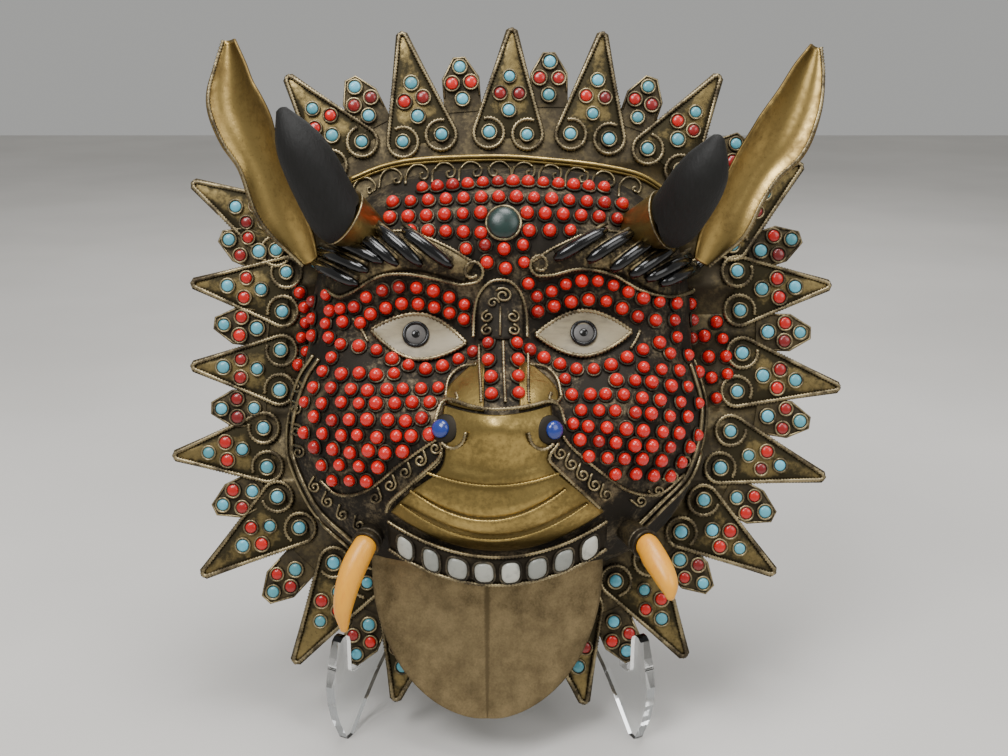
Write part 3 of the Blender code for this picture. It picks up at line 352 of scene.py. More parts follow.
def streaked(name, light, dark, rough, stretch, scale, contrast=(0.35, 0.7), relief=0.3, shine=0.5):
    """Bone, horn and ivory, with fibres along one way."""

    def recipe(coords, tone):
        drawn = coords.node("ShaderNodeMapping", {"vector_type": "POINT"}, {"Vector": coords, "Scale": stretch})
        fibre = drawn.noise(scale, 4.0, 0.6)
        cloud = coords.noise(70, 3.0)
        # Fibres and clouds, darkened where tone rises: on the eye sheets that tone is painted shade along the lids
        marks_and_shade = (fibre * 0.6 + cloud * 0.4 + tone * 0.3).step(*contrast)
        return {"Base Color": marks_and_shade.mix(light, dark), "Normal": fibre.bump(relief, 0.0005)}

    return new_finish(name, recipe, Roughness=rough, Specular_IOR_Level=shine)


def face_row(z):
    """The face's middle at a height up the plate, and its share of the full width, which lessens at the temples."""
    rise = min(1.0, max(0.0, (z + 20) / 40))
    width = 1 - 0.08 * rise * rise * (3 - 2 * rise)
    return FACE_CENTRE[0] + 0.03 * (z - FACE_CENTRE[1]), width


def face_height(x, z):
    """Height of the face above the ray plate."""
    middle, width = face_row(z)
    across = abs((x - middle) / width) / FACE_HALF[0]
    share = min(1.0, (across**3 + (abs(z - FACE_CENTRE[1]) / FACE_HALF[1]) ** 3) ** (1 / 3))
    height = FACE_DOME
    for form_x, form_z, breadth, tall, up in FACE_FORMS:
        height += up * math.exp(-(((x - form_x) / breadth) ** 2 + ((z - form_z) / tall) ** 2) / 2)
    return height * math.sqrt(max(0.0, 1 - share**6))


def face_normal(x, z):
    """Way out of the face, or straight forward on the plate round it."""
    if face_height(x, z) <= 0:
        return Vector((0, -1, 0))
    reach = 0.6
    slope_x = (face_height(x + reach, z) - face_height(x - reach, z)) / (2 * reach)
    slope_z = (face_height(x, z + reach) - face_height(x, z - reach)) / (2 * reach)
    return Vector((-slope_x, -1, -slope_z)).normalized()


def on_face(x, z, above=0.0):
    """The point of the face at (x, z), lifted straight forward."""
    return Vector((x, -face_height(x, z) - above, z))


def sight(px, py, height):
    """Where the line of sight through a pixel crosses a height above the plate."""
    scale = (-EYE_POINT.y - height) / FOCAL_PIXELS
    return (px - PICTURE_MIDDLE[0]) * scale + EYE_POINT.x, (PICTURE_MIDDLE[1] - py) * scale


def seen(px, py, above=0.0):
    """The surface point that shows at a pixel of the photograph, lifted out of the surface, and its normal."""
    height = 84.0
    while height > 0 and face_height(*sight(px, py, height)) < height:
        height -= 1.5
    low, high = max(height, 0.0), height + 1.5
    for _ in range(7):
        middle = (low + high) / 2
        if face_height(*sight(px, py, middle)) < middle:
            high = middle
        else:
            low = middle
    x, z = sight(px, py, low)
    normal = face_normal(x, z)
    return Vector((x, -low, z)) + normal * above, normal


def pixel(point):
    """The pixel of the photograph at which a point of the mask shows."""
    scale = FOCAL_PIXELS / (point.y - EYE_POINT.y)
    return PICTURE_MIDDLE[0] + (point.x - EYE_POINT.x) * scale, PICTURE_MIDDLE[1] - point.z * scale


def along_curve(points, share):
    """A point of a smooth curve through points, at a share of its count of spans (Catmull-Rom)."""
    spans = len(points) - 1
    at = min(max(share, 0.0), 1.0) * spans
    index = min(int(at), spans - 1)
    t = at - index
    first = points[index - 1] if index else [2 * a - b for a, b in zip(points[0], points[1])]
    last = points[index + 2] if index + 2 <= spans else [2 * a - b for a, b in zip(points[-1], points[-2])]
    ends = [first, points[index], points[index + 1], last]
    weights = (
        -0.5 * t**3 + t**2 - 0.5 * t,
        1.5 * t**3 - 2.5 * t**2 + 1,
        -1.5 * t**3 + 2 * t**2 + 0.5 * t,
        0.5 * t**3 - 0.5 * t**2,
    )
    return [sum(w * end[k] for w, end in zip(weights, ends)) for k in range(len(points[0]))]


def smooth_line(points, steps=8):
    """A smooth line through points, with a number of steps for each span."""
    count = (len(points) - 1) * steps
    return [along_curve(points, k / count) for k in range(count + 1)]


def resampled(path, pitch):
    """The same line with points an even distance apart."""
    lengths = [(b - a).length for a, b in zip(path, path[1:])]
    total = sum(lengths)
    count = max(1, round(total / pitch))
    points, index, passed = [], 0, 0.0
    for k in range(count + 1):
        target = total * k / count
        while index < len(lengths) - 1 and passed + lengths[index] < target:
            passed += lengths[index]
            index += 1
        share = (target - passed) / lengths[index] if lengths[index] else 0.0
        points.append(path[index].lerp(path[index + 1], min(1.0, share)))
    return points


def polyline(curve, points, closed):
    """Adds one straight-sided spline through points to a curve."""
    spline = curve.splines.new("POLY")
    spline.points.add(len(points) - 1)
    for place, at in zip(spline.points, points):
        place.co = (*at, 1)
    spline.use_cyclic_u = closed
    return spline


def curve_surface(curve, merge):
    """A curve's own surface with doubled points merged; the curve is removed."""
    holder = bpy.data.objects.new("curve", curve)
    mesh = bpy.data.meshes.new_from_object(holder)
    bpy.data.objects.remove(holder)
    bpy.data.curves.remove(curve)
    bm = bmesh.new()
    bm.from_mesh(mesh)
    bpy.data.meshes.remove(mesh)
    bmesh.ops.remove_doubles(bm, verts=bm.verts, dist=merge)
    return bm


def bar_mesh(bars, sides, closed=False):
    """Round bars, each a list of points and a list of radii, as one mesh with closed ends."""
    curve = bpy.data.curves.new("bars", "CURVE")
    curve.dimensions = "3D"
    curve.bevel_depth = 1.0
    curve.bevel_resolution = (sides - 4) // 2
    curve.use_fill_caps = True
    for points, radii in bars:
        for place, radius in zip(polyline(curve, points, closed).points, radii):
            place.radius = radius
    bm = curve_surface(curve, 0.0005)
    bmesh.ops.recalc_face_normals(bm, faces=bm.faces)
    return finished(bm)


def plain_wires(paths, radius, sides=6, closed=False):
    """Smooth wires of one radius."""
    return bar_mesh([(path, [radius] * len(path)) for path in paths], sides, closed)


def tapered(line, radii, steps, tip_length, tip_radius):
    """A bar along a smooth line through points, with radii that go from one to the next, closed by a small tip."""
    fine = [Vector(along_curve(line, k / steps)) for k in range(steps + 1)]
    widths = [along_curve([(radius,) for radius in radii], k / steps)[0] for k in range(steps + 1)]
    tip = fine[-1] + (fine[-1] - fine[-2]).normalized() * tip_length
    return fine + [tip], widths + [tip_radius]


def beaded_wires(paths, radius, pitch, sides=6):
    """Wires rolled into rows of small beads."""
    bars = []
    for path in paths:
        points = resampled(path, pitch / 2)
        bars.append((points, [radius * (1.05 if k % 2 else 0.52) for k in range(len(points))]))
    return bar_mesh(bars, sides)


def joined(*meshes):
    """Several meshes as one."""
    bm = bmesh.new()
    for mesh in meshes:
        bm.from_mesh(mesh)
        bpy.data.meshes.remove(mesh)
    return finished(bm)


def finished(bm):
    """A mesh from a bmesh, which is freed."""
    mesh = bpy.data.meshes.new("piece")
    bm.to_mesh(mesh)
    bm.free()
    return mesh


def sheet(cells, place, tone_and_painted_shade=None):
    """A grid laid out by a function of u and v, each from -1 to 1, facing forward; the last function gives its tone
    attribute, which on most sheets is painted shade near wires and in creases.
    """
    bm = bmesh.new()
    bmesh.ops.create_grid(bm, x_segments=cells[0], y_segments=cells[1], size=1)
    tone = bm.verts.layers.float.new("tone")
    for vert in bm.verts:
        u, v = vert.co.x, vert.co.y
        vert.co = place(u, v)
        # tone: painted shade near wires and in creases, as the last function gives it
        vert[tone] = tone_and_painted_shade(u, v) if tone_and_painted_shade else 0.0
    bmesh.ops.remove_doubles(bm, verts=bm.verts, dist=0.03)
    bmesh.ops.recalc_face_normals(bm, faces=bm.faces)
    bm.normal_update()
    if sum(face.normal.y * face.calc_area() for face in bm.faces) > 0:
        bmesh.ops.reverse_faces(bm, faces=bm.faces)
    return finished(bm)


def lifted(places, height):
    """The same places, moved along their way out."""
    return [(at + normal * height, normal, tone, size) for at, normal, tone, size in places]


def circle(steps):
    """Even angles of a full turn."""
    return [2 * math.pi * k / steps for k in range(steps)]


def turned_to(normal, at):
    """The turn and move that take a shape along Z to a way out and a place."""
    return Matrix.Translation(at) @ normal.to_track_quat("Z", "Y").to_matrix().to_4x4()


def domes(places, radius, flat=1.0, segments=12, rings=8):
    """Round stones, each given as its middle, its way out and its tone."""
    bm = bmesh.new()
    layer = bm.verts.layers.float.new("tone")
    for at, normal, tone, size in places:
        matrix = turned_to(normal, at) @ Matrix.Diagonal((size, size, size * flat, 1))
        made = bmesh.ops.create_uvsphere(bm, u_segments=segments, v_segments=rings, radius=radius, matrix=matrix)
        for vert in made["verts"]:
            vert[layer] = tone
    return finished(bm)


def rings(places, radius, wire, sides=4, steps=14):
    """A ring of wire round each place."""
    paths = []
    for at, normal, _, size in places:
        matrix = turned_to(normal, at)
        paths.append([matrix @ Vector((math.cos(t) * radius * size, math.sin(t) * radius * size, 0))
                      for t in circle(steps)])
    return plain_wires(paths, wire, sides, closed=True)


def put(name, mesh, finish, nodes=(), wall=0.0, sharp=None):
    """A finished piece of the mask: turned into the row frame, given its finish and set on the body.

    nodes are those that it replaces, wall is the sheet's thickness in millimetres and sharp is in degrees.
    """
    mesh.transform(MASK)
    mesh.materials.clear()
    mesh.materials.append(finish)
    mesh.shade_smooth()
    if sharp:
        mesh.set_sharp_from_angle(angle=math.radians(sharp))
    piece = bpy.data.objects.new(name, mesh)
    bpy.context.scene.collection.objects.link(piece)
    if wall:
        thick = piece.modifiers.new("wall", "SOLIDIFY")
        thick.thickness = wall * 0.001
        thick.offset = -1
    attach(piece, "root")
    if nodes:
        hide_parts(*nodes)
    return piece


def on_mask(points, above):
    """A line of pixels laid on the mask's surface."""
    return [seen(x, y, above)[0] for x, y in points]


def straight_run(start, end, above):
    """A straight line between two pixels laid on the mask's surface."""
    spots = [[a + (b - a) * k / 8 for a, b in zip(start, end)] for k in range(9)]
    return on_mask(spots, above)


def spiral(centre, radius, start, turns, hand=1, inner=0.22, steps=20):
    """A curl of wire in pixels, from its outer end inwards; start and turns are in whole turns."""
    line = []
    for k in range(steps + 1):
        share = k / steps
        angle = 2 * math.pi * (start + hand * turns * share)
        reach = radius * (1 - (1 - inner) * share)
        line.append((centre[0] + reach * math.cos(angle), centre[1] + reach * math.sin(angle)))
    return line


def spread_along(points, count):
    """Evenly spaced places on a smooth line through points, each with the line's way there."""
    line = [Vector(p) for p in smooth_line(points, 12)]
    if count == 1:
        return [(line[0], (line[-1] - line[0]).normalized())]
    length = sum((b - a).length for a, b in zip(line, line[1:]))
    even = resampled(line, length / (count - 1))
    return [
        (even[k], (even[min(k + 1, len(even) - 1)] - even[max(k - 1, 0)]).normalized()) for k in range(len(even))
    ]


def crown_scrolls(lift):
    """The row of open curls over the forehead, each from its foot over its top and round inside."""
    paths = []
    for k in range(11):
        x = 366 + 26.5 * k
        y = min(smooth_line(RIDGE), key=lambda spot: abs(spot[0] - x))[1] + 5
        hand = -1 if k == 5 else 1
        shape = ((-13, 21), (-12, 9), (-5, 1), (4, 1.5), (9.5, 8), (8, 15), (3, 16), (1.5, 11.5), (4.5, 10))
        paths.append(on_mask(smooth_line([(x + hand * u, y + v) for u, v in shape], 4), lift))
    return paths


def scroll_row(points, count, radius, hand, lift, turns=1.35):
    """A row of wire curls along a line, each with a tail that runs on to the next."""
    paths = []
    stations = spread_along(points, count)
    for at, way in stations:
        heading = math.atan2(way.y, way.x) / (2 * math.pi)
        curl = spiral(at, radius, heading + 0.5, turns, hand)
        off = Vector((-way.y, way.x)) * -hand * radius
        tail = [tuple(at - way * radius * 1.35 - off), tuple(at - way * radius * 1.15 - off * 0.4)]
        paths.append(on_mask(tail + curl, lift))
    return paths


def inside(point, outline):
    """Whether a point lies within a closed outline."""
    within = False
    for (ax, ay), (bx, by) in zip(outline, outline[1:] + outline[:1]):
        if (ay > point[1]) != (by > point[1]) and point[0] < (bx - ax) * (point[1] - ay) / (by - ay) + ax:
            within = not within
    return within


def ray_frame(ray):
    """Origin, outward direction, sideways direction and length of a long ray in the plate's plane."""
    tip, base = Vector(ray[0]), Vector(ray[1])
    along = (tip - base).normalized()
    return base, along, Vector((along.y, -along.x)), (tip - base).length


def short_ray_frame(index):
    """Tip of the short ray after a long ray, its outward direction and its sideways direction."""
    tip = Vector(SHORT_RAY_TIPS[index])
    after = (index + 1) % len(LONG_RAYS)
    root = (Vector(LONG_RAYS[index][1]) + Vector(LONG_RAYS[after][1])) / 2
    along = (tip - root).normalized()
    return tip, along, Vector((along.y, -along.x))


def border_points(ray):
    """The border wire's line: round one loop, up to the tip, down again and round the other loop."""
    base, along, across, length = ray_frame(ray)
    tip_centre = length - RAY_TIP_RADIUS - WIRE_RADIUS - 0.25
    reach = math.hypot(tip_centre, LOOP_SPREAD)
    heading = math.atan2(LOOP_SPREAD, tip_centre)
    tangent = heading - math.acos((LOOP_RADIUS - RAY_TIP_RADIUS) / reach)
    half = []
    sweep = 2 * math.pi - LOOP_OPENING
    for step in range(29):
        angle = tangent + LOOP_OPENING + sweep * step / 28
        half.append((LOOP_RADIUS * math.cos(angle), -LOOP_SPREAD + LOOP_RADIUS * math.sin(angle)))
    for step in range(4):
        angle = tangent * (1 - step / 4)
        half.append((tip_centre + RAY_TIP_RADIUS * math.cos(angle), RAY_TIP_RADIUS * math.sin(angle)))
    other = [(u, -v) for u, v in reversed(half)]
    line = half + [(tip_centre + RAY_TIP_RADIUS, 0)] + other
    return [base + along * u + across * v for u, v in line]


def crossing(point_a, way_a, point_b, way_b):
    """Where two lines in the plate's plane meet."""
    turn = way_a.x * way_b.y - way_a.y * way_b.x
    offset = point_b - point_a
    return point_a + way_a * ((offset.x * way_b.y - offset.y * way_b.x) / turn)


def ray_side(ray, side):
    """Outer corner of a long ray's tip on one side, and the direction of that edge towards the base."""
    base, along, across, length = ray_frame(ray)
    tip_half = RAY_TIP_RADIUS + WIRE_RADIUS
    corner = base + along * (length - tip_half / 2) + across * side * tip_half
    foot = base + across * side * (LOOP_SPREAD + LOOP_RADIUS + RAY_MARGIN)
    return corner, (foot - corner).normalized()


def plate_outline():
    """The plate's cut edge, clockwise: each long ray's tip, then the short ray between it and the next."""
    points = []
    for index, ray in enumerate(LONG_RAYS):
        left, _ = ray_side(ray, -1)
        right, right_way = ray_side(ray, 1)
        following = LONG_RAYS[(index + 1) % len(LONG_RAYS)]
        next_left, next_way = ray_side(following, -1)
        points += [left, Vector(ray[0]), right]
        if SHORT_RAY_TIPS[index] is None:
            points.append(crossing(right, right_way, next_left, next_way))
            continue
        tip, along, across = short_ray_frame(index)
        for side, edge, way in ((-1, right, right_way), (1, next_left, next_way)):
            shoulder = tip - along * SHORT_SHOULDER + across * side * SHORT_HALF_WIDTH
            end = tip + across * side * SHORT_TIP_HALF_WIDTH
            valley = crossing(shoulder, along, edge, way)
            ordered = [valley, shoulder, end]
            points += ordered if side < 0 else reversed(ordered)
    return points


def flat_mesh(outlines, low, high):
    """A flat sheet cut to closed outlines in the plate's plane, between two heights."""
    curve = bpy.data.curves.new("flat", "CURVE")
    curve.dimensions = "2D"
    curve.fill_mode = "BOTH"
    curve.extrude = (high - low) / 2
    for outline in outlines:
        polyline(curve, [(at[0], at[1], 0) for at in outline], True)
    bm = curve_surface(curve, 0.001)
    for vert in bm.verts:
        vert.co = Vector((vert.co.x, -vert.co.z - (high + low) / 2, vert.co.y))
    bmesh.ops.recalc_face_normals(bm, faces=bm.faces)
    return finished(bm)


def on_plate(point, height):
    """A point of the plate's plane, raised forward from it."""
    return Vector((point.x, -height, point.y))


def ray_stones():
    """Places of the stones on the rays: {stone: [(middle, way out, tone, size)]}."""
    forward = Vector((0, -1, 0))
    chance = random.Random(11)
    found = {"turquoise": [], "coral": []}
    for index, ray in enumerate(LONG_RAYS):
        base, along, across, _ = ray_frame(ray)
        spots = [(base + along * u + across * v, kind) for u, v, kind in LONG_CLUSTER]
        spots += [(base + across * side * LOOP_SPREAD, "turquoise") for side in (-1, 1)]
        if SHORT_RAY_TIPS[index] is not None:
            tip, along, across = short_ray_frame(index)
            spots += [(tip - along * u + across * v, kind) for u, v, kind in SHORT_CLUSTER]
        for at, kind in spots:
            jitter = Vector((chance.uniform(-0.35, 0.35), chance.uniform(-0.35, 0.35)))
            found[kind].append((on_plate(at + jitter, 0), forward, chance.random(), chance.uniform(0.92, 1.08)))
    return found


def bead_places():
    """Places of the coral beads on the face: (point of the surface, way out, tone, size)."""
    chance = random.Random(5)
    pixels = []
    for points, count in BEAD_STRINGS:
        pixels += [tuple(at) for at, _ in spread_along(points, count)]
    strung = list(pixels)
    first_row, last_row = FIELD_ROWS
    first_column, last_column = FIELD_COLUMNS
    wave, wave_length = FIELD_WAVE
    for outline in BEAD_FIELDS:
        row, y = 0, first_row
        while y < last_row:
            x = first_column + (FIELD_PITCH / 2 if row % 2 else 0)
            while x < last_column:
                off_x, off_y = (chance.uniform(-FIELD_JITTER, FIELD_JITTER) for _ in range(2))
                spot = (x + off_x, y + off_y + wave * math.sin((x - first_column) / wave_length))
                clear = all((spot[0] - a) ** 2 + (spot[1] - b) ** 2 > FIELD_CLEARANCE**2 for a, b in strung)
                if clear and inside(spot, outline):
                    pixels.append(spot)
                x += FIELD_PITCH
            y += FIELD_PITCH * FIELD_ROW_SHARE
            row += 1
    places = []
    for x, y in pixels:
        at, normal = seen(x, y)
        tone = 1.0 if chance.random() > 0.1 else chance.uniform(0.2, 0.7)
        places.append((at, normal, tone * chance.uniform(0.85, 1.0), chance.uniform(0.92, 1.07)))
    return places


def fold_row(crease, px):
    """The pixel row of one of the muzzle's folds at a pixel column."""
    middle, low, bend, _ = crease
    return low - bend * (px - middle) ** 2


def muzzle_point(u, v, above):
    """A point of the muzzle sheet: u across and v up it, each -1 to 1, with its stepped folds."""
    down = (1 - v) / 2
    half = along_curve(MUZZLE_HALVES, down)[0]
    top_off = min(1.0, abs(u))
    top = MUZZLE_TOP - MUZZLE_TOP_ARCH * (1 - top_off * top_off)
    foot = MUZZLE_FOOT - MUZZLE_FOOT_ARCH * (1 - u * u)
    point = on_face(-4 + u * half, top + (foot - top) * down, 1.9 + above)
    px, py = pixel(point)
    fold = 0.0
    fading = max(0.0, 1 - abs(u) ** 6)
    for crease in MUZZLE_FOLDS:
        off = py - fold_row(crease, px)
        fold -= FOLD_STEP / (1 + math.exp(-off / 1.2)) * fading
        fold += FOLD_SWELL * math.exp(-((off + 7) / 6) ** 2) * fading
    point.y -= fold + 0.6
    return point


def muzzle_rope(crease):
    """A rope across the muzzle, along the pixels of one fold."""
    middle, reach = crease[0], crease[3]
    columns = [middle + reach * (2 * k / 40 - 1) for k in range(41)]
    return on_mask([(px, fold_row(crease, px)) for px in columns], 2.6)


def band_point(x, v):
    """A point of the lip band: x along it, v from its lower to its upper edge."""
    z = BAND_MIDDLE + BAND_CURVE * x * x / 1000 + v * BAND_HALF
    height = BAND_HEIGHT - BAND_FALL * x * x / 1000 + BAND_LEAN * v * BAND_HALF
    return Vector((-4 + x, -height, z))


def brow_point(side, u, v, above):
    """A point of a brow: u from the nose outwards, v from its lower to its upper edge, each -1 to 1."""
    lower = along_curve(BROW_LOWER, (u + 1) / 2)
    upper = along_curve(BROW_UPPER, (u + 1) / 2)
    share = (v + 1) / 2
    x = FACE_AXIS + side * (lower[0] + (upper[0] - lower[0]) * share)
    return on_face(x, lower[1] + (upper[1] - lower[1]) * share, above)


def eye_point(side, u, v, above):
    """A point of an eye: u along it and v across it, each -1 to 1."""
    centre_x, centre_z, tilt, _ = EYES[side]
    turn = math.radians(-tilt)
    off_x, off_z = u * EYE_HALF[0], v * EYE_HALF[1] * (1 - abs(u) ** 1.8)
    x = centre_x + off_x * math.cos(turn) - off_z * math.sin(turn)
    z = centre_z + off_x * math.sin(turn) + off_z * math.cos(turn)
    return on_face(x, z, above + 2.4 + 2.0 * (1 - u * u) * (1 - v * v))


def ear_point(side, u, v, above=0.0):
    """A point of an ear leaf: u across it and v up it, each -1 to 1."""
    outward = -1 if side == "left" else 1
    stations = EAR_STATIONS[side]
    share = (v + 1) / 2
    x, z, height, half = along_curve(stations, share)
    half = max(half, 0.4)
    nearer = along_curve(stations, max(0.0, share - 0.02))
    further = along_curve(stations, min(1.0, share + 0.02))
    way = Vector((further[0] - nearer[0], further[1] - nearer[1])).normalized()
    cup = 0.55 * half * u * u - 0.35 * half * u * outward
    across = Vector((way.y, -way.x)) * half * u
    return Vector((x + across.x, -(height + cup + above), z + across.y))


def station_point(station):
    """The point of a station that is written as x, z and height."""
    return Vector((station[0], -station[2], station[1]))


def tongue_point(u, v):
    """A point of the tongue: u across it and v up it, each -1 to 1."""
    down = (1 - v) / 2
    z = TONGUE_TOP - TONGUE_LENGTH * math.sin(down * math.pi / 2)
    fall = min(1.0, max(0.0, (TONGUE_SHOULDER - z) / TONGUE_ROUNDING))
    half = TONGUE_HALF * math.sqrt(max(0.0, 1 - fall * fall))
    off = u * half / TONGUE_HALF
    crease = 1.4 * max(0.0, 1 - abs(off) * 8)
    ripple = 0.35 * math.sin(off * 7 + z / 9) * (1 - off * off)
    return Vector((TONGUE_MIDDLE + u * half, -(TONGUE_HEIGHT - 8 * fall - 11 * off * off - crease + ripple), z))


def length_setting(name, description, default, least):
    """A length in the sidebar."""
    return FloatProperty(name=name, description=f"{description}, in millimetres", default=default, min=least)


def colour_setting(name, description, default):
    """A colour in the sidebar."""
    return FloatVectorProperty(name=name, description=description, subtype="COLOR", size=3, default=default)


class ChamMaskSettings(bpy.types.PropertyGroup):
    """Sizes and colours of the mask that a user would change."""

    bead_radius: length_setting("Bead radius", "Radius of a coral bead on the face", 3.0, 1.0)
    stone_radius: length_setting("Stone radius", "Radius of a stone on the rays", 2.85, 1.0)
    wire_pitch: length_setting("Wire pitch", "Length of one bead of the beaded wires", 1.55, 0.5)
    coral: colour_setting("Coral", "Colour of the coral", (0.62, 0.010, 0.005))
    turquoise: colour_setting("Turquoise", "Colour of the turquoise", (0.12, 0.46, 0.60))
    brass: colour_setting("Brass", "Colour of the rubbed brass", (0.40, 0.285, 0.095))
    patina: colour_setting("Patina", "Colour of the darkened brass", (0.05, 0.04, 0.025))
    bone: colour_setting("Bone", "Colour of the eyes", (0.25, 0.21, 0.13))
    tusk: colour_setting("Tusk", "Colour of the tusks", (0.74, 0.33, 0.02))
    horn: colour_setting("Horn", "Colour of the horns", (0.010, 0.0095, 0.009))
    floor: colour_setting("Floor", "Colour of the floor", (0.62, 0.60, 0.57))


def finishes(settings):
    """Every finish of the mask by name."""
    bright, dark = tuple(settings.brass), tuple(settings.patina)
    deep = tuple(0.42 * part for part in bright)
    return {
        "plate": brass("Dark plate", (0.12, 0.092, 0.045), dark, 0.42, (0.42, 0.66), 1.4, 0.85),
        "panel": brass("Ray brass", (0.27, 0.20, 0.08), (0.04, 0.033, 0.018), 0.36, (0.34, 0.60), 1.2, 0.95),
        "wire": brass("Beaded wire", (0.36, 0.29, 0.16), (0.07, 0.055, 0.035), 0.34, (0.38, 0.6), 2.0, 0.95, 0.1),
        "ring": brass("Bead ring", (0.17, 0.14, 0.09), (0.03, 0.025, 0.018), 0.42, (0.45, 0.7), 2.0, 0.8, 0.1),
        "ground": brass("Face ground", (0.20, 0.155, 0.09), (0.022, 0.018, 0.013), 0.48, (0.47, 0.72), 1.6, 0.75),
        "bright": brass("Rubbed brass", bright, deep, 0.27, (0.34, 0.66), 1.3, 1.0, 0.3),
        "ear": brass("Ear brass", (0.38, 0.265, 0.09), (0.15, 0.10, 0.035), 0.30, (0.28, 0.56), 0.8),
        "tongue": brass("Tongue brass", (0.29, 0.22, 0.115), (0.14, 0.105, 0.055), 0.42, (0.25, 0.72), 3.0),
        "band": brass("Lip brass", (0.16, 0.12, 0.06), (0.03, 0.024, 0.016), 0.42, (0.45, 0.7), 1.5, 0.85),
        "brow": brass("Brow brass", (0.26, 0.20, 0.10), (0.03, 0.024, 0.016), 0.40, (0.44, 0.66), 1.5, 0.85),
        "coral": stone("Coral", tuple(settings.coral), (0.16, 0.010, 0.010), 0.26, 0.25, 0.14),
        "turquoise": stone("Turquoise", tuple(settings.turquoise), (0.07, 0.26, 0.30), 0.34, 0.2, 0.45),
        "tube": stone("Black glass", (0.004, 0.003, 0.002), (0.002, 0.002, 0.002), 0.16, 0.0, 0.2),
        "green": stone("Dark green stone", (0.012, 0.036, 0.030), (0.008, 0.014, 0.011), 0.32, 0.0, 0.9),
        "lapis": stone("Lapis", (0.016, 0.04, 0.24), (0.006, 0.012, 0.07), 0.22, 0.4, 0.5),
        "tooth": stone("Tooth", (0.50, 0.49, 0.42), (0.17, 0.18, 0.16), 0.36, 0.2, 0.7),
        "bone": streaked("Bone", tuple(settings.bone), (0.15, 0.125, 0.08), 0.42, (1, 1, 3.5), 160, (0.42, 0.72), 0.2),
        "grey": streaked("Grey disc", (0.13, 0.12, 0.10), (0.06, 0.055, 0.05), 0.45, (1, 1, 1), 300),
        "tusk": streaked("Tusk", tuple(settings.tusk), (0.66, 0.24, 0.02), 0.36, (5, 5, 1), 130, (0.44, 0.8), 0.2),
        "horn": streaked(
            "Horn", tuple(settings.horn), (0.007, 0.007, 0.006), 0.62, (4, 4, 1), 160, (0.35, 0.7), 0.7, 0.25
        ),
    }


def acrylic():
    """The easel's clear acrylic."""
    return new_finish(
        "Clear acrylic", lambda coords, tone: {}, Base_Color=(0.97, 0.985, 0.985, 1), Roughness=0.02, IOR=1.49,
        Transmission_Weight=1.0,
    )


class MASK_OT_rays(bpy.types.Operator):
    """Cuts the ray plate and lays the raised panels of the long and short rays on it"""

    bl_idname = "mask.rays"
    bl_label = "Rays"

    def execute(self, context):
        finish = finishes(context.scene.cham_mask)
        hole = [
            (HOLE_CENTRE[0] + HOLE_HALF[0] * math.cos(t), HOLE_CENTRE[1] + HOLE_HALF[1] * math.sin(t))
            for t in circle(48)
        ]
        plate = flat_mesh([plate_outline(), hole], -PLATE_THICKNESS, 0)
        put("ray_plate_sheet", plate, finish["plate"], ("ray_plate",))
        panels, dark_panels = [], []
        for index, ray in enumerate(LONG_RAYS):
            base, along, across, length = ray_frame(ray)

            def place(u, v):
                share = (v + 1) / 2
                half = (LOOP_SPREAD + LOOP_RADIUS) * (1 - share) + RAY_TIP_RADIUS * share
                at = base + along * ((length - 3) * share - 2 * (1 - share)) + across * half * u
                return on_plate(at, 0.25 + 0.8 * (1 - u**4) * (1 - abs(v) ** 6))

            # tone: painted shade with patina, darker along the panel's sides by the border wire and over its base by
            # the loops
            panels.append(sheet((10, 16), place, lambda u, v: max(abs(u) ** 3, 0.55 if v < -0.55 else 0)))
            if SHORT_RAY_TIPS[index] is None:
                continue
            tip, along, across = short_ray_frame(index)

            def place_short(u, v):
                down = (1 - v) / 2 * 27
                lean = min(1.0, down / SHORT_SHOULDER)
                half = SHORT_TIP_HALF_WIDTH + (SHORT_HALF_WIDTH - SHORT_TIP_HALF_WIDTH) * lean
                return on_plate(tip - along * (down + 0.6) + across * u * (half - 0.7), 0.2 + 0.3 * (1 - u**4))

            dark_panels.append(sheet((6, 8), place_short))
        put("long_ray_panels", joined(*panels), finish["panel"])
        put("short_ray_panels", joined(*dark_panels), finish["plate"])
        return {"FINISHED"}


class MASK_OT_ray_wires(bpy.types.Operator):
    """Bends the beaded border wire with two loops on every long ray, and edges the short rays"""

    bl_idname = "mask.ray_wires"
    bl_label = "Ray wires"

    def execute(self, context):
        settings = context.scene.cham_mask
        finish = finishes(settings)
        borders = [[on_plate(p, 0.95 + 0.2 * (k % 2)) for p in border_points(ray)] for k, ray in enumerate(LONG_RAYS)]
        put("ray_border_wires", beaded_wires(borders, WIRE_RADIUS, settings.wire_pitch), finish["wire"])
        edges = []
        for index, tip_at in enumerate(SHORT_RAY_TIPS):
            if tip_at is None:
                continue
            tip, along, across = short_ray_frame(index)
            half = (
                (20, SHORT_HALF_WIDTH - 0.6), (SHORT_SHOULDER + 0.4, SHORT_HALF_WIDTH - 0.6),
                (0.7, SHORT_TIP_HALF_WIDTH - 0.2),
            )
            line = [tip - along * down - across * off for down, off in half]
            line += [tip - along * down + across * off for down, off in reversed(half)]
            edges.append([on_plate(p, 0.5) for p in line])
        put("short_ray_edges", plain_wires(edges, 0.6), finish["wire"])
        spots = [sight(px, py, 1.3) for px, py in smooth_line(RIDGE)]
        ridge = [Vector((x, -1.3, z)) for x, z in spots]
        under = [point + Vector((0, 0.6, -1.6)) for point in ridge]
        put("crown_ridge", joined(plain_wires([ridge], 1.3, 8), plain_wires([under], 1.0)), finish["bright"])
        return {"FINISHED"}


